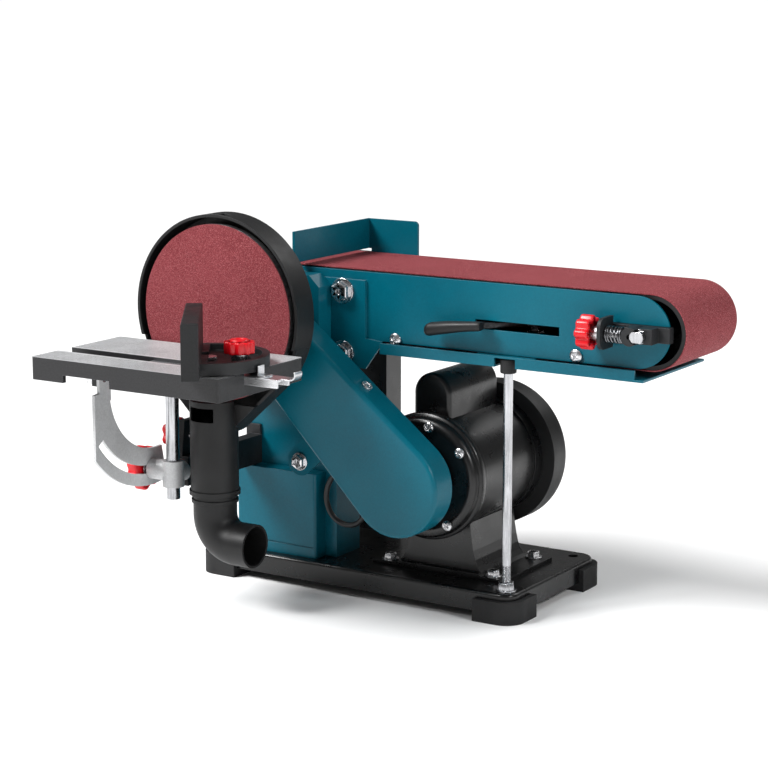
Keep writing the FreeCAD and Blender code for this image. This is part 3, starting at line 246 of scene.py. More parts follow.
finishes = {
    "blue_paint": coatedFinish("bluePaint", {
        "colour": rgb(0, 80, 97), "second": rgb(0, 91, 108), "edgeColour": rgb(34, 140, 162),
        "speckColour": rgb(0, 106, 125), "speckle": 0.25, "grainScale": 620.0, "bumpDepth": 0.0002,
        "bumpStrength": 0.3, "rough": 0.34, "roughSpan": 0.05, "edgeShare": 0.3,
        "shader": {"Coat Weight": 0.04, "Coat Roughness": 0.15, "Specular IOR Level": 0.22}}),
    "black_paint": coatedFinish("blackPaint", {
        "colour": rgb(9, 9, 10), "second": rgb(14, 14, 15), "edgeColour": rgb(74, 75, 78),
        "grainScale": 700.0, "bumpDepth": 0.0001, "rough": 0.3, "roughSpan": 0.05, "edgeShare": 0.3,
        "shader": {"Specular IOR Level": 0.4, "Coat Weight": 0.12, "Coat Roughness": 0.1}}),
    "black_plastic": coatedFinish("blackPlastic", {
        "colour": rgb(16, 16, 17), "second": rgb(24, 24, 25), "edgeColour": rgb(64, 65, 68),
        "grainScale": 1500.0, "bumpDepth": 0.0002, "bumpStrength": 0.35, "rough": 0.48, "roughSpan": 0.06,
        "edgeShare": 0.3, "shader": {"Specular IOR Level": 0.36}}),
    "rocker_plastic": coatedFinish("rockerPlastic", {
        "colour": rgb(18, 18, 19), "second": rgb(25, 25, 27), "edgeColour": rgb(60, 60, 62),
        "grainScale": 1200.0, "bumpDepth": 0.00005, "rough": 0.25, "roughSpan": 0.05, "shader": {}}),
    "red_plastic": coatedFinish("redPlastic", {
        "colour": rgb(196, 4, 18), "second": rgb(212, 10, 26), "edgeColour": rgb(240, 84, 88),
        "grainScale": 1300.0, "bumpDepth": 0.00008, "rough": 0.34, "roughSpan": 0.06, "edgeShare": 0.25,
        "shader": {"Subsurface Weight": 0.05, "Subsurface Radius": (0.003, 0.001, 0.001)}}),
    "foot_rubber": coatedFinish("footRubber", {
        "colour": rgb(24, 24, 25), "second": rgb(36, 36, 37), "edgeColour": rgb(62, 62, 63),
        "grainScale": 900.0, "bumpDepth": 0.0003, "bumpStrength": 0.4, "rough": 0.7, "roughSpan": 0.08,
        "shader": {"Specular IOR Level": 0.35}}),
    "belt_rubber": coatedFinish("beltRubber", {
        "colour": rgb(20, 20, 21), "second": rgb(32, 31, 31), "edgeColour": rgb(58, 58, 58),
        "grainScale": 1100.0, "bumpDepth": 0.0003, "rough": 0.75, "roughSpan": 0.08, "shader": {}}),
    "lead_rubber": coatedFinish("leadRubber", {
        "colour": rgb(20, 20, 21), "second": rgb(28, 28, 29), "edgeColour": rgb(50, 50, 51),
        "grainScale": 1400.0, "bumpDepth": 0.0001, "rough": 0.45, "roughSpan": 0.06, "shader": {}}),
    "bright_steel": metalFinish("brightSteel", {
        "dark": rgb(150, 151, 154), "light": rgb(205, 206, 209), "edgeColour": rgb(235, 235, 238),
        "stretch": (1.0, 1.0, 0.05), "scratchScale": 900.0, "bumpDepth": 0.00002,
        "rough": 0.24, "roughSpan": 0.07,
        # painted shade: the top 4 mm of the platen, just under the belt, is painted near-black as the belt's
        # shadow
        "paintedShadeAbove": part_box("platen")[1].z - 0.004, "paintedShadeColour": rgb(26, 26, 28),
        "shader": {"Metallic": 1.0}}),
    "zinc_fasteners": metalFinish("zincFasteners", {
        "dark": rgb(186, 186, 188), "light": rgb(228, 228, 230), "edgeColour": rgb(246, 246, 247),
        "stretch": (1.0, 1.0, 1.0), "scratchScale": 500.0, "bumpDepth": 0.00003,
        "rough": 0.26, "roughSpan": 0.08,
        "shader": {"Metallic": 1.0}}),
    "spring_steel": metalFinish("springSteel", {
        "dark": rgb(74, 75, 77), "light": rgb(132, 133, 136), "edgeColour": rgb(196, 197, 200),
        "stretch": (1.0, 1.0, 1.0), "scratchScale": 800.0, "bumpDepth": 0.00002,
        "rough": 0.3, "roughSpan": 0.08,
        "shader": {"Metallic": 1.0}}),
    "grey_steel": metalFinish("greySteel", {
        "dark": rgb(38, 39, 40), "light": rgb(66, 67, 69), "edgeColour": rgb(205, 206, 209),
        "stretch": (1.0, 1.0, 1.0), "scratchScale": 450.0, "bumpDepth": 0.00004,
        "rough": 0.36, "roughSpan": 0.1,
        "edgeShare": 0.6, "shader": {"Metallic": 0.9}}),
    "cast_table": tableFinish("machinedTable", {
        "topAbove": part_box("table")[1].z - 0.0003,
        "topDark": rgb(178, 180, 182), "topLight": rgb(226, 227, 229),
        "sideDark": rgb(22, 22, 24), "sideLight": rgb(34, 34, 36), "edgeColour": rgb(150, 152, 155),
        "metal": 0.2}),
    "cast_light": metalFinish("lightCasting", {
        "dark": rgb(186, 187, 188), "light": rgb(214, 215, 216), "edgeColour": rgb(236, 236, 238),
        "stretch": (1.0, 1.0, 1.0), "scratchScale": 650.0, "bumpDepth": 0.00025, "bumpStrength": 0.5,
        "rough": 0.46, "roughSpan": 0.06, "shader": {"Metallic": 0.25}}),
    "dark_cast": coatedFinish("darkCasting", {
        "colour": rgb(20, 21, 22), "second": rgb(30, 31, 33), "edgeColour": rgb(110, 112, 116),
        "grainScale": 650.0, "bumpDepth": 0.0004, "bumpStrength": 0.45, "rough": 0.5, "roughSpan": 0.08,
        "edgeShare": 0.45, "shader": {"Specular IOR Level": 0.38}}),
    "bar_aluminium": metalFinish("barAluminium", {
        "dark": rgb(190, 191, 194), "light": rgb(228, 229, 231), "edgeColour": rgb(244, 244, 246),
        "stretch": (0.04, 1.0, 1.0), "scratchScale": 1000.0, "bumpDepth": 0.00003,
        "rough": 0.3, "roughSpan": 0.06,
        "shader": {"Metallic": 0.9}}),
    "drum_aluminium": metalFinish("drumAluminium", {
        "dark": rgb(140, 141, 144), "light": rgb(190, 191, 194), "edgeColour": rgb(225, 225, 228),
        "stretch": (1.0, 0.05, 1.0), "scratchScale": 900.0, "bumpDepth": 0.00003,
        "rough": 0.35, "roughSpan": 0.08,
        "shader": {"Metallic": 0.9}}),
    "abrasive_cloth": gritFinish("abrasiveGrit", {
        "grainScale": 2300.0, "fineScale": 3200.0, "cloudScale": 22.0, "bumpDepth": 0.0004,
        "stops": [(0.0, rgb(76, 22, 28)), (0.45, rgb(122, 44, 50)), (0.75, rgb(152, 70, 75)),
                  (1.0, rgb(214, 148, 150))],
        "wornColour": rgb(156, 74, 80), "wornShare": 0.25, "shader": {"Specular IOR Level": 0.25}}),
}
slotOf = {row["node"]: row["material_slot"] for row in frame["record"]["subparts"]}
for name, node in nodes.items():
    if not node.material_slots:
        node.data.materials.append(finishes[slotOf[name]])
    for place in node.material_slots:
        place.material = finishes[slotOf[name]]
print("finishes ready:", len(finishes))


# The working datum of the drawings: middle of the base plate, on the floor, in millimetres

baseLow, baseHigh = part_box("base_pan")
datum = np.array([(baseLow.x + baseHigh.x) / 2, (baseLow.y + baseHigh.y) / 2, 0.0])


def at(x, y, z):
    return datum + np.array([x, y, z]) * mm


def boxOf(node):
    # lowest and highest corner of a node, in datum millimetres
    low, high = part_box(node)
    return (np.array(low) - datum) / mm, (np.array(high) - datum) / mm


def frameAlong(direction):
    # side, up and out directions, each of length one
    out = np.array(direction, float)
    out /= np.linalg.norm(out)
    side = np.cross(out, [0.0, 0.0, 1.0] if abs(out[2]) < 0.9 else [1.0, 0.0, 0.0])
    side /= np.linalg.norm(side)
    return side, np.cross(out, side), out


# Surfaces: every shell is (points, faces); shells are joined into one piece

def gridShell(points, loopRows=False):
    # quads between neighbouring rows and columns of a grid of points, whose columns close round;
    # the rows close round too, or end in a flat cap
    rows, columns = points.shape[:2]
    index = np.arange(rows * columns).reshape(rows, columns)
    nextRow = np.roll(index, -1, 0) if loopRows else index[1:]
    thisRow = index if loopRows else index[:-1]
    quads = np.stack([thisRow, np.roll(thisRow, -1, 1), np.roll(nextRow, -1, 1), nextRow], -1).reshape(-1, 4)
    faces = quads.tolist()
    if not loopRows:
        faces += [index[0][::-1].tolist(), index[-1].tolist()]
    flat = points.reshape(-1, 3)
    p, q, r, s = (flat[quads[:, k]] - flat.mean(0) for k in range(4))
    volume = np.einsum("ij,ij->", p, np.cross(q, r)) + np.einsum("ij,ij->", p, np.cross(r, s))
    if volume < 0:
        faces = [f[::-1] for f in faces]
    return flat, faces


def turnedShell(profile, centre, direction, count=64):
    # surface of revolution: a (radius, height) profile in millimetres turned about direction through centre
    side, up, out = frameAlong(direction)
    profile = np.array(profile, float)
    angle = np.linspace(0, 2 * np.pi, count, endpoint=False)
    ring = profile[:, :1, None] * (np.cos(angle)[:, None] * side + np.sin(angle)[:, None] * up)
    points = np.array(centre) + (ring + profile[:, 1][:, None, None] * out) * mm
    return gridShell(points)


def outlineShell(outline, profile, centre, direction, sideways=None):
    # closed outline (n, 2) stacked along direction: each profile step pulls it in by an inset at a height
    side, up, out = frameAlong(direction) if sideways is None else (*sideways, np.array(direction, float))
    outline = np.array(outline, float)
    ahead = np.roll(outline, -1, 0) - np.roll(outline, 1, 0)
    inward = np.stack([-ahead[:, 1], ahead[:, 0]], 1) / np.linalg.norm(ahead, axis=1)[:, None]
    area = np.sum(outline[:, 0] * np.roll(outline[:, 1], -1) - outline[:, 1] * np.roll(outline[:, 0], -1))
    inward = inward if area > 0 else -inward
    profile = np.array(profile, float)
    flat = outline[None] + inward[None] * profile[:, 0][:, None, None]
    points = flat[..., :1] * side + flat[..., 1:] * up + profile[:, 1][:, None, None] * out
    return gridShell(np.array(centre) + points * mm)


def sweptShell(path, section):
    # section (n, 2) carried along a path; its frame is turned from point to point with the least twist
    path = np.array(path, float)
    heading = np.gradient(path, axis=0)
    heading /= np.linalg.norm(heading, axis=1)[:, None]
    side, up = frameAlong(heading[0])[:2]
    sides, ups = [side], [up]
    for k in range(1, len(path)):
        side = sides[-1] - heading[k] * np.dot(sides[-1], heading[k])
        side /= np.linalg.norm(side)
        sides.append(side)
        ups.append(np.cross(heading[k], side))
    across = section[:, :1] * np.array(sides)[:, None] + section[:, 1:] * np.array(ups)[:, None]
    return gridShell(path[:, None] + across * mm)


def ringSection(radius, count):
    angle = np.linspace(0, 2 * np.pi, count, endpoint=False)
    return radius * np.stack([np.cos(angle), np.sin(angle)], 1)


def roundedProfile(inner, height, edge, steps=5, base=0.0):
    # up from the base with a rounded lower and upper edge, as (inset, height)
    turn = np.linspace(0, np.pi / 2, steps)
    low = [(edge * (1 - math.sin(t)), base + edge * (1 - math.cos(t))) for t in turn]
    high = [(edge * (1 - math.cos(t)), base + height - edge * (1 - math.sin(t))) for t in turn]
    return [(inner, base)] + low + high + [(inner, base + height)]


def makePiece(name, shells, body, slot, replaced=(), sharp=35.0):
    points = np.concatenate([s[0] for s in shells])
    faces, start = [], 0
    for shell in shells:
        faces += [[k + start for k in f] for f in shell[1]]
        start += len(shell[0])
    mesh = bpy.data.meshes.new(name)
    mesh.from_pydata(points, [], faces)
    mesh.validate()
    mesh.shade_smooth()
    mesh.set_sharp_from_angle(angle=math.radians(sharp))
    piece = bpy.data.objects.new(name, mesh)
    bpy.context.scene.collection.objects.link(piece)
    mesh.materials.append(finishes[slot])
    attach(piece, body)
    if replaced:
        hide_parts(*replaced)


# Abrasive belt: one closed loop, a straight run above and below and a half turn at each end

beltLook = {"thick": 1.0, "edge": 0.25, "turnSteps": 48, "runSteps": 60}


def loopPath(x0, x1, z, radius, turnSteps, runSteps):
    # anticlockwise loop round two equal circles, seen from the disc side
    turn = np.linspace(0, np.pi, turnSteps, endpoint=False)
    run = np.linspace(0, 1, runSteps, endpoint=False)
    right = np.stack([x1 + radius * np.sin(turn), z - radius * np.cos(turn)], 1)
    top = np.stack([x1 + (x0 - x1) * run, np.full(runSteps, z + radius)], 1)
    left = np.stack([x0 - radius * np.sin(turn), z + radius * np.cos(turn)], 1)
    bottom = np.stack([x0 + (x1 - x0) * run, np.full(runSteps, z - radius)], 1)
    return np.concatenate([right, top, left, bottom])


def makeAbrasiveBelt():
    low, high = boxOf("abrasive_belt")
    radius = (high[2] - low[2]) / 2
    z, x0, x1 = (low[2] + high[2]) / 2, low[0] + radius, high[0] - radius
    thick, edge = beltLook["thick"], beltLook["edge"]
    middle = loopPath(x0, x1, z, radius - thick / 2, beltLook["turnSteps"], beltLook["runSteps"])
    ahead = np.roll(middle, -1, 0) - np.roll(middle, 1, 0)
    out = np.stack([ahead[:, 1], -ahead[:, 0]], 1) / np.linalg.norm(ahead, axis=1)[:, None]
    rim = [(-1, 0.5 - edge), (-1 + 0.004, 0.5), (1 - 0.004, 0.5), (1, 0.5 - edge), (1, -0.5), (-1, -0.5)]
    half, centre = (high[1] - low[1]) / 2, (high[1] + low[1]) / 2
    corners = [(middle + out * h * thick, centre + w * half) for w, h in rim]
    lines = [np.stack([line[:, 0], np.full(len(line), y), line[:, 1]], 1) for line, y in corners]
    points = np.stack(lines, 1)
    shell = gridShell(datum + points * mm, loopRows=True)
    makePiece("abrasiveBelt", [shell], "belt_bed", "abrasive_cloth", ["abrasive_belt"])


# Hand knobs

def lobedOutline(radius, lobes, depth, count=160, sharpness=1.0):
    # circle with rounded hollows: the radius drops by depth between neighbouring lobes
    angle = np.linspace(0, 2 * np.pi, count, endpoint=False)
    hollow = (0.5 - 0.5 * np.cos(lobes * angle)) ** sharpness
    r = radius - depth * hollow
    return np.stack([r * np.cos(angle), r * np.sin(angle)], 1)


def hexOutline(across, count=72, rounding=60.0):
    # rounded hexagon: the apothem over a high-power mean of the cosines towards its six flats
    angle = np.linspace(0, 2 * np.pi, count, endpoint=False)
    toFlat = np.maximum(np.cos(angle[:, None] - np.arange(6) * np.pi / 3), 0) ** rounding
    r = across / 2 * toFlat.sum(1) ** (-1 / rounding)
    return np.stack([r * np.cos(angle), r * np.sin(angle)], 1)


# place is the middle of the inner face and out points to the hand;
# stems are (radius, start, end) behind that face, threads likewise
knobLook = {
    "tracking_knob": {"place": (238, -84, 261), "out": (-1, 0, 0), "radius": 14.3, "thick": 14, "lobes": 8,
                      "depth": 2.6, "edge": 1.6, "sharp": 1.8, "cap": 0.55,
                      "stems": [(6, -7.8, 0.5)], "threads": [(3, -26, -7.8)]},
    "mitre_knob": {"place": (1, -246.5, 246), "out": (0, 0, 1), "radius": 13, "thick": 11.5, "lobes": 10,
                   "depth": 1.7, "edge": 1.2, "sharp": 1.2, "cap": 0.6,
                   "stems": [(6.8, -7.6, 0.5), (3, -20, -7.6)], "threads": []},
    "quadrant_knob": {"place": (-146.5, -181, 120), "out": (-1, 0, 0), "radius": 20, "thick": 12, "lobes": 7,
                      "depth": 3.2, "edge": 1.8, "sharp": 1.6, "cap": 0.5,
                      "stems": [(7, -0.4, 0.5)], "threads": [(3, -15.5, 0.5)]},
    "arm_knob": {"place": (-133.2, -155, 148), "out": (-1, 0, 0), "radius": 15, "thick": 9, "lobes": 7,
                 "depth": 2.8, "edge": 1.6, "sharp": 1.6, "cap": 0.5,
                 "stems": [(5, -7.6, 0.5)], "threads": [(3, -16.9, -7.6)]},
}


def stemShell(centre, direction, radius, start, end, count=32, bevel=0.3):
    profile = [(0.05, start), (radius - bevel, start), (radius, start + bevel), (radius, end - bevel),
               (radius - bevel, end), (0.05, end)]
    return turnedShell(profile, centre, direction, count)


def threadShell(centre, direction, radius, start, end, pitch=1.0, depth=0.35):
    # screw thread: the radius rises and falls once a pitch along the axis and once a turn round it
    count, steps = 40, max(8, int((end - start) / pitch * 10))
    height = np.linspace(start, end, steps)
    angle = np.linspace(0, 2 * np.pi, count, endpoint=False)
    phase = height[:, None] / pitch * 2 * np.pi - angle
    fade = np.clip(np.minimum(height - start, end - height) / pitch, 0, 1)[:, None]
    r = radius - depth * (0.5 + 0.5 * np.cos(phase) * fade)
    side, up, out = frameAlong(direction)
    ring = r[..., None] * (np.cos(angle)[:, None] * side + np.sin(angle)[:, None] * up)
    return gridShell(np.array(centre) + (ring + height[:, None, None] * out) * mm)


def makeKnob(node, look):
    # a lobed rim with rounded edges and a raised round cap in its middle; its screw is a piece of its own
    place, out, radius, thick = at(*look["place"]), look["out"], look["radius"], look["thick"]
    outline = lobedOutline(radius, look["lobes"], look["depth"], sharpness=look["sharp"])
    rim = roundedProfile(radius * 0.5, thick * 0.86, look["edge"])
    cap = radius * look["cap"]
    dish = thick - 0.6
    boss = [(0.05, 0.5), (cap, 0.5), (cap, thick - 0.8), (cap - 0.8, thick), (cap * 0.62, thick),
            (cap * 0.55, dish), (0.05, dish)]
    grip = [outlineShell(outline, rim, place, out), turnedShell(boss, place, out, 48)]
    makePiece(node + "_grip", grip, node, "red_plastic", [node])
    metal = [stemShell(place, out, *stem) for stem in look["stems"]]
    metal += [threadShell(place, out, *thread) for thread in look["threads"]]
    makePiece(node + "_screw", metal, node, "zinc_fasteners")


def makeKnobs():
    for node, look in knobLook.items():
        makeKnob(node, look)


# Tracking spring: round wire on a helix, its end turns closed up

springLook = {"x0": 249.0, "x1": 265.5, "wire": 0.9, "coil": 6.3, "turns": 6, "y": -84.0, "z": 261.0}


def makeSpring():
    look = springLook
    share = np.linspace(0, 1, look["turns"] * 36 + 1)
    angle = share * look["turns"] * 2 * np.pi
    eased = share + 0.06 * np.sin(2 * np.pi * share) * -1
    x = look["x0"] + look["wire"] + (look["x1"] - look["x0"] - 2 * look["wire"]) * eased
    y, z = look["y"] + look["coil"] * np.cos(angle), look["z"] + look["coil"] * np.sin(angle)
    path = np.stack([x, y, z], 1)
    shell = sweptShell(datum + path * mm, ringSection(look["wire"], 12))
    makePiece("trackingSpring", [shell], "idler_carriage", "spring_steel", ["tracking_spring"])


# Fasteners: hexagon heads with a turned chamfer and a socket, and round heads with a cross recess

def hexHeadShells(seat, out, across, height, washerRadius=0.0, washer=1.5, socket=0.0):
    lift = washer if washerRadius else 0.0
    shells = []
    if washerRadius:
        rim = [(0.05, 0), (washerRadius - 0.2, 0), (washerRadius, 0.25), (washerRadius, washer - 0.3),
               (washerRadius - 0.4, washer), (0.05, washer)]
        shells.append(turnedShell(rim, seat, out, 48))
    inner = across / 2 - socket if socket else across * 0.36
    profile = [(across * 0.4, lift), (0.0, lift), (0.0, lift + height - 0.9), (0.3, lift + height - 0.4),
               (0.9, lift + height)]
    if socket:
        profile += [(inner, lift + height), (inner + 0.35, lift + height - 0.35),
                    (inner + 0.4, lift + height * 0.35), (across * 0.42, lift + height * 0.3)]
    else:
        profile += [(across * 0.4, lift + height + 0.15)]
    shells.append(outlineShell(hexOutline(across), profile, seat, out))
    return shells


def crossHeadShells(seat, out, radius, height, turn=0.3):
    # domed round head: height falls off with the square of the radius, less a cross-shaped pit
    side, up, normal = frameAlong(out)
    share = np.linspace(0.02, 1, 26)
    angle = np.linspace(0, 2 * np.pi, 72, endpoint=False)
    r, a = np.meshgrid(share, angle, indexing="ij")
    dome = height * (1 - 0.42 * r ** 2.6)
    x, y = r * np.cos(a + turn), r * np.sin(a + turn)
    arm = np.minimum(np.abs(x), np.abs(y)) - 0.13
    reach = np.maximum(np.abs(x), np.abs(y)) - 0.56
    pit = 1 / (1 + np.exp(np.clip(np.maximum(arm * 1.4, reach) * 45, -30, 30)))
    top = dome - pit * height * 0.5 * (1.15 - r)
    top = np.vstack([top, top[-1:] * 0.8, np.zeros((1, len(angle)))])
    r = np.vstack([r, np.full((2, len(angle)), 1.0)])
    a = np.vstack([a, a[:2]])
    ring = (r * radius)[..., None] * (np.cos(a)[..., None] * side + np.sin(a)[..., None] * up)
    return [gridShell(np.array(seat) + (ring + top[..., None] * normal) * mm)]


toFront, toBack = (0, -1, 0), (0, 1, 0)
fastenerLook = {
    "bracket": {"x": -14.3, "y": -70.5, "heights": (273.5, 218.3)},
    "foot": {"across": (17, 123), "along": (-42, 31), "z": 29},
    "tray": {"places": ((38.5, 234.5), (213.9, 237.0)), "front": -68, "back": 41.2},
    "fence": {"across": (-45, -20), "y": 41.7, "z": 272},
    "lug": (-41, -100, 123),
    "bell": {"circle": 47, "turns": (35, 80, 170, 215, 305)},
    "flankShare": 0.62,
}


def makeFasteners():
    look = fastenerLook
    bed = []
    for z in look["bracket"]["heights"]:
        seat = at(look["bracket"]["x"], look["bracket"]["y"], z)
        bed += hexHeadShells(seat, toFront, 15.6, 6.0, 11.3, 1.9, socket=2.6)
    makePiece("bracketBolts", bed, "belt_bed", "zinc_fasteners", ["bed_bolts"])
    feet = []
    for x in look["foot"]["across"]:
        for y in look["foot"]["along"]:
            feet += hexHeadShells(at(x, y, look["foot"]["z"]), (0, 0, 1), 10, 4.2, 7.5, 1.5)
    makePiece("footBolts", feet, "machine", "zinc_fasteners", ["foot_bolts"])
    tray = []
    for x, z in look["tray"]["places"]:
        tray += crossHeadShells(at(x, look["tray"]["front"], z), toFront, 5.6, 3.0)
        tray += crossHeadShells(at(x, look["tray"]["back"], z), toBack, 5.2, 2.6)
    for x in look["fence"]["across"]:
        tray += hexHeadShells(at(x, look["fence"]["y"], look["fence"]["z"]), toBack, 8, 3.0)
    makePiece("trayScrews", tray, "belt_bed", "zinc_fasteners", ["bed_screws"])
    housing = hexHeadShells(at(*look["lug"]), toFront, 11, 4.5, 8, 1.5, socket=2.6)
    for turn in look["bell"]["turns"]:
        x = motorLook["x"] + look["bell"]["circle"] * math.cos(math.radians(turn))
        z = motorLook["z"] + look["bell"]["circle"] * math.sin(math.radians(turn))
        housing += crossHeadShells(at(x, motorLook["front"], z), toFront, 4.5, 3.0, turn * 0.1)
    seat, normal = coverFlank(look["flankShare"])
    housing += crossHeadShells(seat, normal, 5, 3)
    makePiece("housingScrews", housing, "machine", "zinc_fasteners", ["housing_screws"])


coverLook = {"top": (-83.5, 256.8, 29.6), "low": (70.0, 117.0, 43.2), "front": -125.0, "back": -100.0}


def coverFlank(share):
    # point and outward direction on the middle of the cover's upper flank, share of the way down
    x0, z0, r0 = coverLook["top"]
    x1, z1, r1 = coverLook["low"]
    turn = math.atan2(z1 - z0, x1 - x0) + math.acos((r0 - r1) / math.hypot(x1 - x0, z1 - z0))
    normal = np.array([math.cos(turn), 0, math.sin(turn)])
    start, end = np.array([x0, 0, z0]) + normal * r0, np.array([x1, 0, z1]) + normal * r1
    place = start + (end - start) * share
    return at(place[0], (coverLook["front"] + coverLook["back"]) / 2 + 2, place[2]), normal


# Quick-release lever: flat bar from the pivot out through the slot, with a moulded teardrop grip

# the grip's half height and half width are given at shares of its length
leverLook = {"pivot": (158, -35), "bend": (121, -78), "z": 253.2, "thick": 4.6, "wide": 9.0,
             "hub": [(4.1, 0), (9.6, 0), (10, 0.4), (10, 4.2), (9.6, 4.6), (4.1, 4.6)],
             "grip": {"start": (131, -81, 256), "length": 55.4, "steps": 44, "round": 32, "fat": 0.75,
                      "tall": [(0, 3.4), (0.03, 4.1), (0.28, 4.4), (0.6, 5.4), (0.9, 5.9), (0.97, 4.4),
                               (1, 0.4)],
                      "broad": [(0, 4.2), (0.03, 4.8), (0.3, 5.8), (0.7, 6.9), (0.92, 6.0), (0.98, 3.6),
                                (1, 0.5)]}}


def makeLever():
    look = leverLook
    hub = turnedShell(look["hub"], at(*look["pivot"], look["z"]), (0, 0, 1), 48)
    x0, y0 = look["pivot"]
    x1, y1 = look["bend"]
    length = math.hypot(x1 - x0, y1 - y0)
    way = np.array([(x1 - x0) / length, (y1 - y0) / length, 0.0])
    side = np.array([-way[1], way[0], 0.0])
    half = look["wide"] / 2
    corner = np.linspace(-np.pi / 2, np.pi / 2, 12)
    outline = np.array([(6.0, -half)] + [(length + half * math.cos(a), half * math.sin(a)) for a in corner]
                       + [(6.0, half)])
    profile = roundedProfile(half * 0.5, look["thick"], 0.5)
    bar = outlineShell(outline, profile, at(x0, y0, look["z"]), (0, 0, 1), sideways=(way, side))
    # grip: a squarish ellipse carried along a gently dropping line
    shape = look["grip"]
    share = np.linspace(0, 1, shape["steps"])
    x0, y0, z0 = shape["start"]
    x = x0 - shape["length"] * share
    z = z0 - 4.0 * share - 3.6 * share ** 2
    tall, broad = (np.interp(share, *zip(*shape[side])) for side in ("tall", "broad"))
    turn = np.linspace(0, 2 * np.pi, shape["round"], endpoint=False)
    wide, high = (np.sign(w) * np.abs(w) ** shape["fat"] for w in (np.cos(turn), np.sin(turn)))
    points = np.stack([np.repeat(x[:, None], len(turn), 1), y0 + broad[:, None] * wide,
                       z[:, None] + tall[:, None] * high], 2)
    grip = gridShell(datum + points * mm)
    makePiece("leverBar", [hub, bar], "tension_lever", "grey_steel", ["tension_lever"])
    makePiece("leverGrip", [grip], "tension_lever", "black_plastic", sharp=60)


# Support rod: plain ground rod, threaded foot, nut above the plate and nut below it

rodLook = {"x": 149, "y": -66, "radius": 4.0, "threadUp": 22, "nut": 13, "belowPlate": 14,
           "lockNut": [(4.5, 0), (0, 0), (0, 6), (4.5, 6)], "capHeight": 13, "capEdge": 1.4}


def makeRod():
    look = rodLook
    x, y, radius = look["x"], look["y"], look["radius"]
    low, high = boxOf("support_rod")
    plate = baseHigh.z / mm
    threadTop = plate + look["threadUp"]
    shells = [stemShell(at(x, y, 0), (0, 0, 1), radius, threadTop, high[2], 40, 0.4),
              threadShell(at(x, y, 0), (0, 0, 1), radius - 0.05, low[2], threadTop + 0.5, 1.2, 0.5)]
    shells += hexHeadShells(at(x, y, plate), (0, 0, 1), look["nut"], 6.5, 9.0, 1.2)
    under = at(x, y, plate - look["belowPlate"])
    shells.append(outlineShell(hexOutline(look["nut"]), look["lockNut"], under, (0, 0, 1)))
    makePiece("supportRod", shells, "machine", "bright_steel", ["support_rod"])
    low, high = boxOf("rod_cap")
    rim, tall, edge = (high[0] - low[0]) / 2, look["capHeight"], look["capEdge"]
    profile = [(radius + 0.05, 0), (rim - 0.6, 0), (rim, 0.6), (rim, tall - edge), (rim - edge, tall),
               (0.05, tall)]
    cap = turnedShell(profile, at(x, y, low[2]), (0, 0, 1), 48)
    makePiece("rodCap", [cap], "machine", "foot_rubber", ["rod_cap"])


# Motor: capacitor housing with soft edges, ringed front end bell, and a gland at each end of its lead

motorLook = {"x": 70.0, "z": 117.0, "front": -77.0,
             "housing": {"foot": -30, "skirt": 138, "edge": 4.0},
             "bell": [(9, 0.6), (14, 0.6), (15, 0), (22, 0), (23, 2.2), (26, 2.6), (43, 1.4), (44.5, 0.2),
                      (47, 0), (49.5, 0.2), (51.8, 1.6), (53.3, 4.2), (53.6, 7.6), (55.4, 8.3), (56.2, 9.4),
                      (56.3, 11), (56.3, 14.6), (55.6, 15.6), (54.6, 16.2), (54.4, 17), (9, 17)],
             "gland": [(2.6, 0), (4.5, 0), (4.5, 18), (2.6, 18)]}
leadLook = {"radius": 2.5, "plane": -64.0, "length": 0.1415,
            "route": [(8, 118), (-5, 118), (-18, 114), (-29, 106), (-36.5, 94), (-38, 80), (-32, 67),
                      (-19.5, 60), (-5, 62), (4, 72), (10.5, 81), (21, 81)]}


def makeMotor():
    look = motorLook
    low, high = boxOf("capacitor_box")
    middle, half = (low[0] + high[0]) / 2, (high[0] - low[0]) / 2
    crown = high[2] - half
    foot, skirt = look["housing"]["foot"], look["housing"]["skirt"] - crown
    arc = np.linspace(0, np.pi, 40)
    outline = np.concatenate([half * np.stack([np.cos(arc), np.sin(arc)], 1),
                              [(-half, foot), (-half, skirt), (half, skirt), (half, foot)]])
    profile = roundedProfile(half * 0.6, high[1] - low[1], look["housing"]["edge"], 7)
    housing = outlineShell(outline, profile, at(middle, low[1], crown), (0, 1, 0),
                           sideways=(np.array([1.0, 0, 0]), np.array([0, 0, 1.0])))
    makePiece("capacitorHousing", [housing], "machine", "black_paint", ["capacitor_box"])
    bell = turnedShell(look["bell"], at(look["x"], look["front"], look["z"]), (0, 1, 0), 128)
    ends = leadLook["route"][0], leadLook["route"][-1]
    glands = [turnedShell(look["gland"], at(x, leadLook["plane"], z), (1, 0, 0), 32) for x, z in ends]
    makePiece("frontBell", [bell] + glands, "machine", "black_paint", ["front_end_bell"])


# Motor lead: a free loop between two glands on the motor's flank

def makeLead():
    curve = bpy.data.curves.new("motorLead", "CURVE")
    curve.dimensions = "3D"
    curve.bevel_depth = leadLook["radius"] * mm
    curve.bevel_resolution = 6
    curve.resolution_u = 10
    spline = curve.splines.new("NURBS")
    points = [at(x, leadLook["plane"], z) for x, z in leadLook["route"]]
    spline.points.add(len(points) - 1)
    for point, place in zip(spline.points, points):
        point.co = (*place, 1.0)
    spline.order_u = 3
    spline.use_endpoint_u = True
    lead = bpy.data.objects.new("motorLead", curve)
    bpy.context.scene.collection.objects.link(lead)
    curve.materials.append(finishes["lead_rubber"])
    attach(lead, "machine")
    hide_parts("motor_lead")


makeAbrasiveBelt()
makeKnobs()
makeSpring()
makeFasteners()
makeLever()
makeRod()
makeMotor()
makeLead()
print("pieces made")


# Floor, camera and soft light

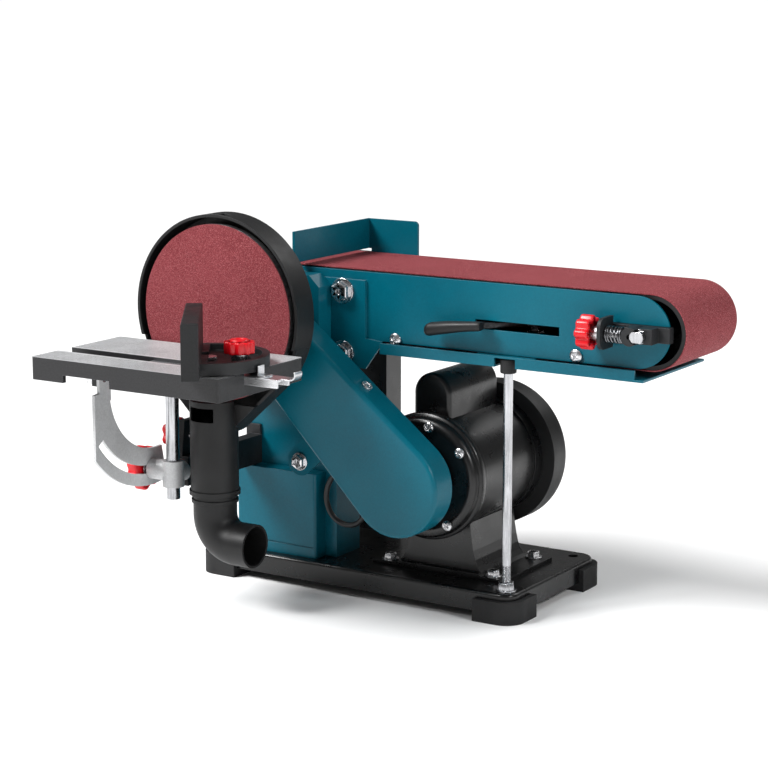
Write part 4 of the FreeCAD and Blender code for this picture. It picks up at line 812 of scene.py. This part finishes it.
stageLook = {"floor": rgb(255, 255, 255), "size": 60.0, "world": 0.17, "sun": ((-1.0, -0.95, 1.5), 3.8, 26.0),
             "lights": [((-1.0, -1.3, 1.5), 0.6, 16.0), ((1.6, -0.3, 1.1), 0.35, 12.0),
                        ((0.5, 1.5, 1.6), 1.0, 9.0)]}
cameraLook = {"place": (0.9702, -1.5486, 0.5588), "azimuth": 32.3, "elevation": 10.5, "lens": 103.33,
              "shift": (0.0013, -0.0217)}


def makeStage():
    mesh = bpy.data.meshes.new("floor")
    half = stageLook["size"] / 2
    corners = [(-half, -half, 0), (half, -half, 0), (half, half, 0), (-half, half, 0)]
    mesh.from_pydata(corners, [], [(0, 1, 2, 3)])
    floor = bpy.data.objects.new("floor", mesh)
    bpy.context.scene.collection.objects.link(floor)
    material = newMaterial("paleFloor", {"Base Color": stageLook["floor"], "Roughness": 0.9,
                                         "Specular IOR Level": 0.2})[0]
    mesh.materials.append(material)
    world = bpy.context.scene.world or bpy.data.worlds.new("studio")
    bpy.context.scene.world = world
    world.use_nodes = True
    background = world.node_tree.nodes["Background"]
    background.inputs["Color"].default_value = (1.0, 1.0, 1.0, 1.0)
    background.inputs["Strength"].default_value = stageLook["world"]
    # the camera sees a white room, the machine is lit and mirrored by a dimmer one
    start = Signal(world.node_tree)
    seen = start.add("ShaderNodeBackground", None, {"Color": (1.0, 1.0, 1.0, 1.0), "Strength": 1.0})
    direct = start.add("ShaderNodeLightPath")
    dim = Signal(world.node_tree, background.outputs[0])
    room = start.add("ShaderNodeMixShader", None, {0: direct, 1: dim, 2: seen})
    world.node_tree.links.new(room.socket, world.node_tree.nodes["World Output"].inputs["Surface"])
    aim, power, spread = stageLook["sun"]
    sun = bpy.data.lights.new("skylight", "SUN")
    sun.energy = power
    sun.angle = math.radians(spread)
    holder = bpy.data.objects.new("skylight", sun)
    holder.rotation_mode = "QUATERNION"
    holder.rotation_quaternion = Vector(aim).to_track_quat("Z", "Y")
    bpy.context.scene.collection.objects.link(holder)
    for k, (place, size, power) in enumerate(stageLook["lights"]):
        light = bpy.data.lights.new("softbox%d" % k, "AREA")
        light.shape = "DISK"
        light.size = size
        light.energy = power
        lamp = bpy.data.objects.new("softbox%d" % k, light)
        lamp.location = place
        lamp.rotation_mode = "QUATERNION"
        lamp.rotation_quaternion = (Vector((0, 0, 0.15)) - Vector(place)).to_track_quat("-Z", "Y")
        bpy.context.scene.collection.objects.link(lamp)


def makeCamera():
    camera = bpy.data.cameras.new("camera")
    camera.sensor_width = 36.0
    camera.lens = cameraLook["lens"]
    camera.shift_x, camera.shift_y = cameraLook["shift"]
    camera.clip_start, camera.clip_end = 0.05, 60.0
    holder = bpy.data.objects.new("camera", camera)
    azimuth, elevation = (math.radians(cameraLook[k]) for k in ("azimuth", "elevation"))
    back = Vector((math.sin(azimuth) * math.cos(elevation), -math.cos(azimuth) * math.cos(elevation),
                   math.sin(elevation)))
    holder.location = cameraLook["place"]
    holder.rotation_mode = "QUATERNION"
    holder.rotation_quaternion = (-back).to_track_quat("-Z", "Y")
    bpy.context.scene.collection.objects.link(holder)
    bpy.context.scene.camera = holder


makeStage()
makeCamera()
bpy.context.scene.view_settings.view_transform = "Standard"
